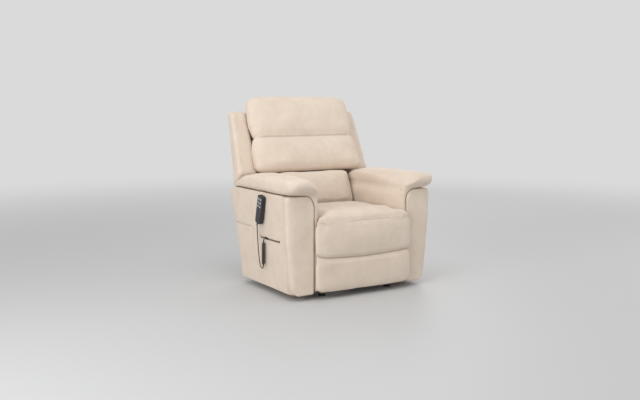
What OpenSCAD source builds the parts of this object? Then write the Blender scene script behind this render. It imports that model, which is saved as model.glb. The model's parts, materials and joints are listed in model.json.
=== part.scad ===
// Lift recliner with a powered lift base, reclining back, swing-out footrest and a hung handset.
// Millimetres. +Z is up, the sitter faces -Y, and the floor is at z = 0.
// Distances named "ahead" run from the middle of the chair towards the front.

/* [Overall] */
// Height of the upholstery's lower edge above the floor
skirt_z = 30; // [24:1:36]
// Distance ahead of the arm fronts
arm_front = 390; // [380:1:400]
// Half the width between the arm frames
arm_gap_half = 274; // [272:1:276]
// Clearance that soft parts keep from their neighbours
soft_gap = 0.4; // [0.3:0.1:0.8]

/* [Base] */
// Width of a base tube
rail_w = 30; // [26:1:32]
// Height of a base tube
rail_h = 30; // [26:1:32]
// Wall of a base tube
rail_wall = 2; // [1.5:0.1:2.5]
// Inner face of the side rails from the middle
rail_x = 200; // [190:1:202]
// Reach of the base ahead of the middle
base_ahead = 340; // [330:1:345]
// Reach of the base behind the middle
base_behind = 340; // [330:1:350]
// Diameter of a floor glide
glide_d = 44; // [36:1:50]
// Height of a floor glide
glide_h = 12; // [10:1:14]
// Thickness of a lift plate
lift_plate_t = 6; // [5:0.5:6]

/* [Lift linkage] */
// Front base pivot ahead of the middle
lift_a_ahead = 284; // [280:1:288]
// Front base pivot height
lift_a_z = 70; // [68:1:74]
// Rear base pivot ahead of the middle
lift_b_ahead = 226; // [222:1:230]
// Rear base pivot height
lift_b_z = 110; // [106:1:114]
// Front chassis pivot ahead of the middle
lift_c_ahead = 60; // [56:1:64]
// Front chassis pivot height
lift_c_z = 90; // [88:1:94]
// Rear chassis pivot behind the middle
lift_d_behind = 168; // [164:1:172]
// Rear chassis pivot height
lift_d_z = 180; // [176:1:184]
// Width of a lift link
lift_link_w = 28; // [24:1:30]
// Thickness of a lift link
lift_link_t = 6; // [5:0.5:6]
// Radius of a lift pivot stud
lift_stud_r = 7; // [6:0.5:8]
// Distance of the tie tube from the rear links' base pivot
lift_tie_along = 57; // [48:1:62]

/* [Chassis] */
// Inner face of the side plates from the middle
side_plate_x = 232; // [230:0.5:233]
// Thickness of the side plates and footrest links
plate_t = 4; // [3:0.5:4]
// Gap between neighbouring footrest links
link_gap = 2; // [1.8:0.1:2.2]
// Diameter of a cross tube
tube_d = 24; // [20:1:26]
// Wall of a cross tube
tube_wall = 2; // [1.5:0.1:2.5]
// Top of the side plates and seat rails
seat_rail_top = 385; // [380:1:388]
// Height of a seat rail
seat_rail_h = 55; // [45:1:58]
// Width of a side seat rail
seat_rail_w = 36; // [30:1:40]
// Depth of the front and rear seat rails
seat_end_d = 32; // [26:1:36]
// Reach of the seat rails ahead of the middle
seat_rail_ahead = 372; // [366:1:373]
// Reach of the seat rails behind the middle
seat_rail_behind = 60; // [50:1:62]

/* [Seat] */
// Rear half width of the seat cushion
seat_half_rear = 247; // [238:1:249]
// Front half width of the seat cushion
seat_half_front = 266; // [258:1:267]
// Height of the seat cushion's crest, over its front roll
seat_crest_z = 460; // [450:1:464]
// Reach of the seat cushion's nose ahead of the middle
seat_nose = 428; // [420:1:432]
// Reach of the seat cushion behind the middle
seat_back_edge = 13; // [8:1:14]
// Spread of the seat cushion's nose beside the arm fronts
seat_ear = 12; // [4:1:14]
// Rounding of the seat cushion's front corners
seat_corner = 20; // [14:1:30]
// Height of the underside of the nose
nose_z = 406; // [405:1:410]
// Width of a webbing strap
strap_w = 50; // [40:1:60]
// Thickness of a webbing strap
strap_t = 3; // [2:0.5:3]

/* [Footrest] */
// Upper drive pivot ahead of the middle
foot_u_ahead = 257; // [255:1:259]
// Upper drive pivot height
foot_u_z = 264; // [262:1:266]
// Lower drive pivot ahead of the middle
foot_l_ahead = 204; // [202:1:206]
// Lower drive pivot height
foot_l_z = 212; // [210:1:214]
// Knee of the upper link ahead of the middle
foot_un_ahead = 160; // [158:1:162]
// Knee of the upper link height
foot_un_z = 95; // [93:1:97]
// Knee of the lower link ahead of the middle
foot_lm_ahead = 127; // [125:1:129]
// Knee of the lower link height
foot_lm_z = 81; // [79:1:83]
// Long link's board pivot ahead of the middle
foot_m_ahead = 359; // [357:1:360]
// Long link's board pivot height
foot_m_z = 301; // [299:1:303]
// Control link's board pivot ahead of the middle
foot_n_ahead = 338; // [336:1:340]
// Control link's board pivot height
foot_n_z = 262; // [260:1:264]
// Width of a footrest link
foot_link_w = 20; // [18:1:22]
// Radius of a footrest stud
foot_stud_r = 5; // [4:0.5:5.5]
// Play in the two pivots that close the loops
pivot_play = 0.9; // [0.8:0.1:1.2]
// Place of the torque tube along the lower link
torque_along = 60; // [57:1:62]
// Thickness of the footrest board
board_t = 18; // [15:1:20]
// Half width of the footrest board
board_half = 262; // [250:1:264]
// Top of the footrest board
board_top = 403; // [398:1:403.5]
// Front face of the footrest board ahead of the middle
board_ahead = 393; // [391:0.5:394]
// Thickness of the footrest pads at the rim
pad_t = 34; // [30:1:38]
// Rise of the upper footrest pad's crown
upper_pad_crown = 9; // [4:1:12]
// Half width of the footrest pads
pad_half = 303; // [296:1:305]
// Height of the seam between the two footrest pads
pad_seam_z = 210; // [200:1:220]

/* [Arms] */
// Half width over the arm sides at their lower edge
arm_half_low = 423; // [418:1:426]
// Half width over the arm sides under the pads
arm_half_high = 452; // [448:1:456]
// Thickness of the arm's padded side
arm_panel_t = 22; // [16:1:26]
// Thickness of the arm's inner frame board
arm_board_t = 26; // [20:1:28]
// Height of the seam under the arm pad
arm_seam_z = 547; // [543:1:550]
// Depth of the padded arm front
arm_front_d = 60; // [50:1:66]
// Radius of the arm front's outer corner
arm_corner_r = 22; // [18:1:40]
// Bulge of the padding along the arm front's outer edge
arm_puff = 16; // [4:1:20]
// Reach of the arm behind the middle at its lower edge
arm_rear_low = 210; // [204:1:214]
// Reach of the arm behind the middle at its widest
arm_rear_high = 300; // [294:1:304]
// Height where the arm reaches furthest back
arm_rear_z = 509; // [503:1:513]
// Crest height of the arm pad
pad_crest_z = 639; // [632:1:642]
// How far the arm pad stands out over the arm's side
pad_over = 9; // [6:1:14]
// How far the arm pad stands over the seat, past the arm frame
pad_inside = 12; // [8:1:16]
// Reach of the arm pad's nose ahead of the middle
pad_nose = 438; // [430:1:440]
// How far the arm's inner padding bulges over the seat
inner_bulge = 20; // [12:1:21]
// Width of the pocket mouth
pocket_w = 231; // [200:1:236]
// Height of the pocket mouth's lower lip
pocket_z = 292; // [286:1:298]
// Height of the slit of the pocket mouth
pocket_slit = 14; // [10:1:18]
// Rear end of the pocket mouth ahead of the middle
pocket_ahead = 38; // [34:1:42]
// Depth of the pocket bag below its mouth
pocket_deep = 182; // [150:1:200]

/* [Back] */
// Lean of the back from upright
back_lean = 22.3; // [20:0.1:24]
// Foot of the back's front plane behind the middle
back_foot_y = 23; // [22:1:26]
// Height of the foot of the back's front plane
back_foot_z = 445; // [443:1:447]
// Back pivot behind the middle
back_pivot_y = 100; // [98:1:102]
// Back pivot height
back_pivot_z = 372; // [370:1:374]
// Depth from the cushions' crests to the wings
cushion_d = 97; // [94:1:100]
// Height of the seam over the lumbar cushion, along the back
lumbar_top = 209; // [207:1:212]
// Height of the seam over the middle cushion, along the back
middle_top = 423; // [415:1:430]
// Top of the head cushion, along the back
head_top = 686; // [670:1:692]
// Half width of the lumbar cushion
lumbar_half = 250; // [240:1:251]
// Half width of the middle cushion
middle_half = 364; // [355:1:368]
// Half width of the head cushion
head_half = 354; // [345:1:362]
// Half width of the shell at its top
shell_half_top = 416; // [412:1:426]
// Half width of the shell at its foot
shell_half_low = 445; // [438:1:450]
// Height of the shell's top
shell_top_z = 963; // [950:1:970]
// Reach of the shell behind the middle at its top
shell_rear_top = 428; // [424:1:434]
// Reach of the shell behind the middle above the arms
shell_rear_low = 286; // [282:1:290]
// Height where the shell meets the arms
shell_low_z = 510; // [508:1:514]
// Inner face of a wing from the middle
wing_x = 318; // [300:1:324]
// Rounding of a wing's outer rear edge
wing_round = 26; // [16:1:32]
// Rounding of a wing's outer front edge
wing_edge = 6; // [4:1:12]
// Thickness of the rear panel
rear_panel_t = 12; // [8:1:14]
// Half width of the back's side rails
back_rail_x = 226; // [224:0.5:227]
// Width of a back rail
back_rail_w = 34; // [28:1:36]
// Depth of a back rail
back_rail_d = 48; // [40:1:52]

/* [Actuators] */
// Radius of an actuator's tube
act_tube_r = 16; // [14:1:17]
// Radius of an actuator's rod
act_rod_r = 10; // [8:0.5:11]
// Half width of an actuator's gearbox
act_box_half = 27; // [24:1:28]
// Length of an actuator's motor can
act_can_l = 84; // [70:1:88]
// Radius of an actuator's motor can
act_can_r = 22; // [18:1:23]
// Length of the lift actuator's housing
lift_act_l = 352; // [340:1:356]
// Length of the leg actuator's housing
leg_act_l = 232; // [225:1:236]
// Length of the back actuator's housing
back_act_l = 222; // [216:1:228]
// Sideways place of the leg and back actuators
act_side = 95; // [92:1:98]

/* [Handset] */
// Height of the handset's middle
handset_z = 456; // [450:1:462]
// Handset's middle ahead of the middle of the chair
handset_ahead = 103; // [98:1:108]
// Lean of the handset from upright
handset_lean = 14.6; // [12:0.1:17]
// Length of the handset
handset_l = 156; // [150:1:162]
// Width of the handset
handset_w = 54; // [50:1:58]
// Thickness of the handset
handset_t = 20; // [18:1:22]
// Distance of the handset's back from the arm's side
handset_stand = 7; // [6:0.5:9]
// Diameter of a button
button_d = 14; // [12:0.5:15]
// Travel of a button
button_travel = 1.2; // [1:0.1:1.5]

/* [Cord] */
// Diameter of the handset's lead
lead_d = 5; // [4.6:0.1:5.2]
// Outer diameter of the curly part of the lead
curl_d = 19; // [18:0.5:20]
// Number of curls
curls = 21; // [17:1:22]

/* [Hidden] */

$fn = 36;
// Overrun of every cut
cut = 1;
// Clearance between hard parts that stand beside each other
slack = 1;
// Fit of a stud in its bore
bore_fit = 0.05;
// Height of a rivet head
head_h = 1.2;
// How far a rivet head stands out round its stud
head_lip = 4;
// Gap under a rivet head
head_gap = 0.3;

// Points of the side view are [y, z]
lift_a = [-lift_a_ahead, lift_a_z];
lift_b = [-lift_b_ahead, lift_b_z];
lift_c = [-lift_c_ahead, lift_c_z];
lift_d = [lift_d_behind, lift_d_z];
foot_u = [-foot_u_ahead, foot_u_z];
foot_l = [-foot_l_ahead, foot_l_z];
foot_un = [-foot_un_ahead, foot_un_z];
foot_lm = [-foot_lm_ahead, foot_lm_z];
foot_m = [-foot_m_ahead, foot_m_z];
foot_n = [-foot_n_ahead, foot_n_z];
back_pivot = [back_pivot_y, back_pivot_z];

// Sideways places of the linkage layers
plate_out = side_plate_x + plate_t;
lift_plate_x = rail_x + rail_w / 2 - lift_plate_t / 2 + 2 * slack;
lift_link_x = lift_plate_x + lift_plate_t + link_gap;
rear_link_x = lift_plate_x - link_gap;
function layer(k) = plate_out + link_gap + k * (plate_t + link_gap);
layer_l = layer(0);
layer_m = layer(1);
layer_u = layer(2);
layer_n = layer(3);

rail_top = glide_h + rail_h;
tube_r = tube_d / 2;

function along(p, q, d) = p + (q - p) * d / norm(q - p);
function heading(p, q) = atan2(q[1] - p[1], q[0] - p[0]);
// Crossing of line p-q with line r-s
function crossing(p, q, r, s) =
    let (a = q - p, b = s - r, c = r - p, d = a[0] * b[1] - a[1] * b[0])
    p + a * (c[0] * b[1] - c[1] * b[0]) / d;
foot_cross = crossing(foot_u, foot_un, foot_lm, foot_m);

// Draws a side view outline as a plate from x0, t thick
module plate(x0, t) {
    translate([x0, 0, 0])
        rotate([90, 0, 90])
            linear_extrude(t)
                children();
}
module both_sides() {
    children();
    mirror([1, 0, 0])
        children();
}
// Disc or pin across the chair from x0 to x1
module pin_x(p, x0, x1, r) {
    translate([x0, p[0], p[1]])
        rotate([0, 90, 0])
            cylinder(r = r, h = x1 - x0);
}
// Bar with round ends that are a little wider than its shank
bar_waist = 1;
module bar_2d(p, q, w) {
    for (c = [p, q])
        translate(c)
            circle(d = w);
    translate(p)
        rotate(heading(p, q))
            translate([0, bar_waist - w / 2])
                square([norm(q - p), w - 2 * bar_waist]);
}
// Flat link with round ends and bores
module link(p, q, x0, t, w, bores) {
    plate(x0, t)
        difference() {
            bar_2d(p, q, w);
            for (b = bores)
                translate(b[0])
                    circle(r = b[1]);
        }
}
// Stud on a face at x0 that carries a link between x1 and x2 and ends in a head
module stud(p, x0, x1, x2, r) {
    s = sign(x2 - x1);
    lo = min(x0, x2 + s * (head_gap + head_h));
    hi = max(x0, x2 + s * (head_gap + head_h));
    pin_x(p, lo, hi, r);
    head_0 = x2 + s * head_gap;
    head_1 = head_0 + s * head_h;
    pin_x(p, min(head_0, head_1), max(head_0, head_1), r + head_lip);
    collar_1 = x1 - s * head_gap;
    pin_x(p, min(x0, collar_1), max(x0, collar_1), r + head_lip / 2);
}
module cross_tube(p, half) {
    difference() {
        pin_x(p, -half, half, tube_r);
        pin_x(p, -half - cut, half + cut, tube_r - tube_wall);
    }
}
// Two cheeks that hold an actuator's eye at q, welded on a tube at p
cheek_t = 4;
cheek_gap = 0.5;
eye_w = 16;
eye_r = 13;
act_pin_r = 6;
module cheeks(p, q, x, pin) {
    for (s = [-1, 1])
        difference() {
            plate(x + s * (eye_w / 2 + cheek_gap + cheek_t / 2) - cheek_t / 2, cheek_t)
                difference() {
                    bar_2d(q, p, 2 * eye_r);
                    translate(p)
                        circle(r = tube_r);
                }
        }
    if (pin)
        pin_x(q, x - eye_w / 2 - cheek_gap - cut, x + eye_w / 2 + cheek_gap + cut, act_pin_r);
    for (s = [-1, 1])
        translate([x + s * (eye_w / 2 + cheek_gap + cheek_t) - (s < 0 ? cheek_t : 0), q[0], q[1]])
            rotate([0, 90, 0])
                cylinder(r = act_pin_r + head_lip / 2, h = cheek_t, $fn = 6);
}

// Base of square tubes that stays on the floor
module base_side_rails() {
    color("dimgray")
        both_sides()
            difference() {
                translate([rail_x, -base_ahead + rail_w, glide_h])
                    cube([rail_w, base_ahead + base_behind - 2 * rail_w, rail_h]);
                translate([rail_x + rail_wall, -base_ahead + rail_w - cut, glide_h + rail_wall])
                    cube([rail_w - 2 * rail_wall, base_ahead + base_behind - 2 * rail_w + 2 * cut,
                        rail_h - 2 * rail_wall]);
            }
}
lift_act_foot_up = 33;
lift_act_foot = [base_behind - rail_w - tube_d / 2 + 2 * slack, rail_top + lift_act_foot_up];
module base_cross_tubes() {
    half = rail_x + rail_w;
    color("dimgray") {
        for (y = [-base_ahead, base_behind - rail_w])
            difference() {
                translate([-half, y, glide_h])
                    cube([2 * half, rail_w, rail_h]);
                translate([-half + rail_wall, y + rail_wall, glide_h + rail_wall])
                    cube([2 * (half - rail_wall), rail_w - 2 * rail_wall, rail_h - 2 * rail_wall]);
            }
        for (s = [-1, 1])
            plate(s * (eye_w / 2 + cheek_gap + cheek_t / 2) - cheek_t / 2, cheek_t)
                difference() {
                    union() {
                        translate(lift_act_foot)
                            circle(r = eye_r);
                        polygon([[base_behind - rail_w, rail_top],
                            [base_behind, rail_top],
                            lift_act_foot + [eye_r, 0],
                            lift_act_foot - [eye_r, 0]]);
                    }
                }
        pin_x(lift_act_foot, -eye_w / 2 - cheek_gap - cut, eye_w / 2 + cheek_gap + cut, act_pin_r);
    }
}
module base_glides() {
    inset = rail_w / 2;
    color("black")
        for (x = [-1, 1])
            for (y = [-base_ahead + inset, base_behind - inset])
                translate([x * (rail_x + inset), y, 0])
                    rotate_extrude()
                        polygon([[0, 0], [glide_d / 2 - inset / 5, 0], [glide_d / 2, inset / 5],
                            [inset, glide_h], [0, glide_h]]);
}
module base_lift_plates() {
    color("dimgray")
        both_sides() {
            plate(lift_plate_x, lift_plate_t) {
                translate(lift_a)
                    circle(r = lift_link_w / 2);
                translate(lift_b)
                    circle(r = lift_link_w / 2);
                polygon([[lift_a[0] - lift_link_w, rail_top],
                    [lift_b[0] + 2 * lift_link_w, rail_top],
                    lift_b + [lift_link_w / 2, 0],
                    lift_b + [-lift_link_w / 3, lift_link_w / 3],
                    lift_a + [-lift_link_w / 2, 0]]);
            }
            stud(lift_a, lift_plate_x + lift_plate_t, lift_link_x, lift_link_x + lift_link_t,
                lift_stud_r);
            stud(lift_b, lift_plate_x, rear_link_x, rear_link_x - lift_link_t, lift_stud_r);
        }
}
supply_w = 100;
supply_d = 90;
supply_h = 46;
inlet_w = 18;
inlet_h = 11;
inlet_deep = 14;
supply_x = -190;
module power_supply() {
    y1 = base_behind - 2 * slack;
    color("black")
        difference() {
            translate([supply_x, y1 - supply_d, rail_top])
                cube([supply_w, supply_d, supply_h]);
            translate([supply_x + supply_w / 2 - inlet_w / 2, y1 - inlet_deep,
                rail_top + supply_h / 2 - inlet_h / 2])
                cube([inlet_w, inlet_deep + cut, inlet_h]);
            for (k = [0:6])
                translate([supply_x + supply_w / 5 + k * supply_w / 10, y1 - supply_d * 3 / 4,
                    rail_top + supply_h - head_h])
                    cube([supply_w / 25, supply_d / 2, head_h + cut]);
        }
}

// Lift links between the base and the chassis
module lift_front_links() {
    r = lift_stud_r + bore_fit;
    color("gray")
        both_sides()
            link(lift_a, lift_c, lift_link_x, lift_link_t, lift_link_w, [[lift_a, r], [lift_c, r]]);
}
module lift_rear_links() {
    r = lift_stud_r + bore_fit;
    color("gray")
        both_sides()
            link(lift_b, lift_d, rear_link_x - lift_link_t, lift_link_t, lift_link_w,
                [[lift_b, r], [lift_d, lift_stud_r + pivot_play]]);
}
module lift_tie_tube() {
    color("gray")
        cross_tube(along(lift_b, lift_d, lift_tie_along), rear_link_x - lift_link_t);
}

// An actuator lies from its foot g to the eye h of its rod
act_box_l = 74;
act_rod_tail = 97;
neck_l = 19;
neck_half = 9;
module act_place(g, h, x) {
    translate([x, g[0], g[1]])
        rotate([heading(g, h), 0, 0])
            children();
}
module act_housing(g, h, x, len, can_side) {
    box_0 = eye_r + 4 * slack;
    color("black")
        act_place(g, h, x)
            difference() {
                union() {
                    translate([-eye_w / 2, 0, 0])
                        rotate([0, 90, 0])
                            cylinder(r = eye_r, h = eye_w);
                    translate([-eye_w / 2, 0, -eye_r])
                        cube([eye_w, box_0 + cut, 2 * eye_r]);
                    translate([-act_box_half, box_0, -act_box_half])
                        cube([2 * act_box_half, act_box_l, 2 * act_box_half]);
                    translate([0, box_0 + act_box_l, 0])
                        rotate([-90, 0, 0])
                            cylinder(r = act_tube_r, h = len - box_0 - act_box_l);
                    translate([0, len - 3 * eye_r / 2, 0])
                        rotate([-90, 0, 0])
                            cylinder(r = act_tube_r + head_lip / 2, h = eye_r);
                    translate([can_side > 0 ? act_box_half : -act_box_half - act_can_l,
                        box_0 + act_box_l / 2, 0])
                        rotate([0, 90, 0])
                            cylinder(r = act_can_r, h = act_can_l);
                }
                translate([0, act_rod_tail - 2 * slack, 0])
                    rotate([-90, 0, 0])
                        cylinder(r = act_rod_r + bore_fit, h = len);
                translate([-eye_w, 0, 0])
                    rotate([0, 90, 0])
                        cylinder(r = act_pin_r + bore_fit, h = 2 * eye_w);
            }
}
module act_rod(g, h, x, tail) {
    len = norm(h - g);
    color("silver")
        act_place(g, h, x) {
            translate([0, tail, 0])
                rotate([-90, 0, 0])
                    cylinder(r = act_rod_r, h = len - tail - neck_l);
            translate([-eye_w / 2, len - neck_l, -neck_half])
                cube([eye_w, neck_l, 2 * neck_half]);
            translate([-eye_w / 2, len, 0])
                rotate([0, 90, 0])
                    cylinder(r = eye_r, h = eye_w);
        }
}
lift_act_head_ahead = 95;
lift_act_head_z = 190;
lift_act_head = [-lift_act_head_ahead, lift_act_head_z];
module lift_motor() {
    act_housing(lift_act_foot, lift_act_head, 0, lift_act_l, 1);
}
module lift_rod() {
    act_rod(lift_act_foot, lift_act_head, 0, act_rod_tail);
}

// Chassis: two steel side plates joined by tubes, with the wooden seat rails bolted inside
front_tube_ahead = 225;
front_tube_z = 268;
mid_tube_ahead = 118;
mid_tube_z = 214;
rear_tube_behind = 150;
rear_tube_z = 222;
front_tube = [-front_tube_ahead, front_tube_z];
mid_tube = [-mid_tube_ahead, mid_tube_z];
rear_tube = [rear_tube_behind, rear_tube_z];
leg_foot_behind = 115;
leg_foot_z = 205;
back_foot_ahead = 190;
back_act_foot_z = 270;
leg_act_foot = [leg_foot_behind, leg_foot_z];
back_act_foot = [-back_foot_ahead, back_act_foot_z];
lobe_r = 20;
module side_plates() {
    r = lift_stud_r;
    color("dimgray")
        both_sides() {
            plate(side_plate_x, plate_t) {
                for (p = [lift_c, lift_d, back_pivot, foot_u, foot_l])
                    translate(p)
                        circle(r = p == foot_u || p == foot_l ? foot_link_w - slack : lobe_r);
                polygon([
                    [-seat_rail_ahead + seat_end_d + 2 * tube_wall, seat_rail_top],
                    [-seat_rail_ahead + seat_end_d + 2 * tube_wall, foot_m[1] + lobe_r],
                    foot_u - [foot_link_w / 2, foot_link_w * 3 / 4],
                    foot_l - [0, foot_link_w - slack],
                    [mid_tube[0] - lobe_r, foot_l[1] - foot_link_w + slack],
                    lift_c + [-lobe_r, 0],
                    lift_c + [lobe_r * 2 / 3, -lobe_r * 2 / 3],
                    lift_d + [-lobe_r / 2, -lobe_r * 6 / 7],
                    rear_tube + [lobe_r, tube_r],
                    rear_tube + [-lobe_r, lobe_r],
                    [seat_rail_behind + lobe_r / 2, rear_tube[1] + 2 * lobe_r],
                    back_pivot + [lobe_r * 6 / 7, -lobe_r / 2],
                    back_pivot + [-lobe_r / 2, lobe_r * 6 / 7],
                    [seat_rail_behind - lobe_r / 2, seat_rail_top]]);
            }
            stud(lift_c, side_plate_x, lift_link_x + lift_link_t, lift_link_x, r);
            stud(lift_d, side_plate_x, rear_link_x, rear_link_x - lift_link_t, r);
            stud(foot_u, plate_out, layer_u, layer_u + plate_t, foot_stud_r);
            stud(foot_l, plate_out, layer_l, layer_l + plate_t, foot_stud_r);
            stud(back_pivot, side_plate_x, back_rail_x + plate_t, back_rail_x, r);
        }
}
module chassis_cross_tubes() {
    color("dimgray") {
        for (p = [front_tube, mid_tube, rear_tube])
            cross_tube(p, side_plate_x);
        cheeks(mid_tube, lift_act_head, 0, false);
        cheeks(rear_tube, leg_act_foot, -act_side, true);
        cheeks(front_tube, back_act_foot, act_side, true);
    }
}
module seat_side_rails() {
    color("burlywood")
        both_sides()
            translate([side_plate_x - seat_rail_w, -seat_rail_ahead, seat_rail_top - seat_rail_h])
                cube([seat_rail_w, seat_rail_ahead + seat_rail_behind, seat_rail_h]);
}
module seat_end_rails() {
    half = side_plate_x - seat_rail_w;
    color("burlywood")
        for (y = [-seat_rail_ahead, seat_rail_behind - seat_end_d])
            translate([-half, y, seat_rail_top - seat_rail_h])
                cube([2 * half, seat_end_d, seat_rail_h]);
}
straps = 5;
module seat_webbing() {
    half = side_plate_x - slack;
    run = seat_rail_ahead - seat_end_d - strap_w;
    color("saddlebrown")
        for (k = [0:straps - 1])
            translate([-half, -run + k * (run + seat_back_edge - strap_w) / (straps - 1),
                seat_rail_top])
                cube([2 * half, strap_w, strap_t]);
}
box_w = 120;
box_h = 38;
module control_box() {
    color("black")
        translate([-box_w / 2, -seat_rail_ahead + seat_end_d, seat_rail_top - seat_rail_h])
            difference() {
                cube([box_w, box_h, box_h]);
                for (k = [0:4])
                    translate([box_w / 8 + k * box_w / 6, box_h - head_h * 3, box_h / 3])
                        cube([box_w / 12, head_h * 3 + cut, box_h / 3]);
            }
}
module arm_mount_blocks() {
    color("burlywood")
        both_sides() {
            translate([plate_out, -lift_c_ahead, rear_tube_z + lobe_r + 2 * slack])
                cube([arm_gap_half - plate_out, lift_c_ahead + seat_rail_behind - lobe_r,
                    seat_rail_top - rear_tube_z - 2 * lobe_r]);
            translate([plate_out, -seat_rail_ahead + seat_end_d + 2 * tube_wall,
                seat_rail_top - lobe_r * 2])
                cube([arm_gap_half - plate_out, seat_end_d, lobe_r * 2]);
        }
}

// A ring of the cushion forms: a rounded rectangle of half width w between y0 and y1 at height z.
// draw pulls the sides in between the corners.
form_n = 32;
form_power_share = 0.24;
function soft_sign(v) = sign(v) * pow(abs(v), form_power_share);
function ring(w, y0, y1, z, draw = 0) = [
    for (k = [0:form_n - 1])
        let (a = 360 * k / form_n, u = soft_sign(cos(a)), v = soft_sign(sin(a)))
        [w * u * (1 - draw * (1 - v * v)), (y0 + y1) / 2 + (y1 - y0) / 2 * v * (1 - draw * (1 - u * u)),
            z]];
// Closed skin over a stack of rings, with a fan at each end
module skin(rings) {
    n = len(rings[0]);
    m = len(rings);
    mid_0 = [for (i = [0:2]) [for (p = rings[0]) p[i]] * [for (p = rings[0]) 1] / n];
    mid_1 = [for (i = [0:2]) [for (p = rings[m - 1]) p[i]] * [for (p = rings[0]) 1] / n];
    points = concat([for (r = rings) each r], [mid_0, mid_1]);
    walls = [for (j = [0:m - 2]) for (k = [0:n - 1])
        let (a = j * n + k, b = j * n + (k + 1) % n)
        each [[a, a + n, b], [b, a + n, b + n]]];
    ends = [for (k = [0:n - 1])
        each [[k, (k + 1) % n, m * n], [(m - 1) * n + (k + 1) % n, (m - 1) * n + k, m * n + 1]]];
    polyhedron(points, concat(walls, ends));
}
// Padded block on a plan, crowned on top, drawn in at the sides and narrower towards its far end
draw_share = 0.02;
crown_shares = [0.86, 0.6, 0.3, 0.08];
narrow_power = 4;
module cushion(w, y0, y1, z0, z1, crown, round, narrow = 0) {
    c = (y0 + y1) / 2;
    l = (y1 - y0) / 2;
    rings = concat([
        ring(w - round, y0 + round, y1 - round, z0, 0),
        ring(w, y0, y1, z0 + round, draw_share),
        ring(w, y0, y1, z1 - round, draw_share),
        ring(w - round / 4, y0 + round / 4, y1 - round / 4, z1 - round / 3, draw_share)],
        [for (s = crown_shares)
            ring((w - round) * s, c - (l - round) * s, c + (l - round) * s,
                z1 + crown * (1 - s * s))]);
    skin([for (r = rings) [for (p = r)
        [p[0] * (1 - narrow * pow(max(0, p[1] - c) / l, narrow_power)), p[1], p[2]]]]);
}

// The seat cushion's front roll and top as a section, in shares of its run and of its height
seat_section_shares = [[0.012, 0], [0, 0.2], [0.004, 0.42], [0.022, 0.66], [0.055, 0.86],
    [0.1, 0.965], [0.15, 1], [0.22, 0.975], [0.32, 0.92], [0.5, 0.89], [0.7, 0.9], [0.86, 0.9],
    [0.95, 0.82], [1, 0.55], [1, 0], [0.5, 0]];
// Stations across the seat: share of the half width, of the height and of the corner's rounding
seat_station_shares = [[1, 0.06, 1], [0.98, 0.22, 0.55], [0.94, 0.43, 0.3], [0.88, 0.66, 0.12],
    [0.8, 0.88, 0.04], [0.68, 0.985, 0], [0.35, 1, 0]];
function seat_half(y) = seat_half_rear
    + (seat_half_front - seat_half_rear) * max(0, -y / seat_nose * 2 - 1)
    + seat_ear * max(0, -y - arm_front) / (seat_nose - arm_front);
module seat_cushion() {
    z0 = seat_rail_top + strap_t;
    run = seat_nose + seat_back_edge;
    low = nose_z + soft_gap;
    near = [for (s = seat_station_shares) s];
    far = [for (k = [len(near) - 1:-1:0]) [-near[k][0], near[k][1], near[k][2]]];
    color("bisque") {
        translate([-side_plate_x, -seat_rail_ahead, z0])
            cube([2 * side_plate_x, seat_rail_ahead + seat_back_edge, nose_z - z0]);
        skin([for (s = concat(near, far))
            [for (p = seat_section_shares)
                let (y = -seat_nose + run * p[0] + seat_corner * s[2] * (1 - p[0]))
                [s[0] * seat_half(y), y, low + (seat_crest_z - low) * p[1] * s[1]]]]);
    }
}

// Footrest linkage, one set on each side
module foot_upper_links() {
    color("silver")
        both_sides() {
            link(foot_u, foot_un, layer_u, plate_t, foot_link_w,
                [[foot_u, foot_stud_r + bore_fit]]);
            stud(foot_cross, layer_u, layer_m + plate_t, layer_m, foot_stud_r);
            stud(foot_un, layer_u + plate_t, layer_n, layer_n + plate_t, foot_stud_r);
        }
}
module foot_lower_links() {
    color("silver")
        both_sides() {
            link(foot_l, foot_lm, layer_l, plate_t, foot_link_w,
                [[foot_l, foot_stud_r + bore_fit]]);
            stud(foot_lm, layer_l + plate_t, layer_m, layer_m + plate_t, foot_stud_r);
        }
}
torque_tube = along(foot_l, foot_lm, torque_along);
crank_out = 34;
crank_dir = heading(foot_l, foot_lm);
leg_act_head = torque_tube + crank_out * [-sin(crank_dir), cos(crank_dir)];
module foot_torque_tube() {
    color("silver") {
        cross_tube(torque_tube, layer_l);
        cheeks(torque_tube, leg_act_head, -act_side, false);
    }
}
module foot_long_links() {
    color("silver")
        both_sides()
            link(foot_lm, foot_m, layer_m, plate_t, foot_link_w,
                [[foot_lm, foot_stud_r + bore_fit], [foot_cross, foot_stud_r + pivot_play],
                    [foot_m, foot_stud_r + bore_fit]]);
}
module foot_control_links() {
    color("silver")
        both_sides()
            link(foot_un, foot_n, layer_n, plate_t, foot_link_w,
                [[foot_un, foot_stud_r + bore_fit], [foot_n, foot_stud_r + pivot_play]]);
}
module foot_board() {
    color("burlywood")
        translate([-board_half, -board_ahead, skirt_z + plate_t])
            cube([2 * board_half, board_t, board_top - skirt_z - 2 * plate_t]);
}
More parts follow.
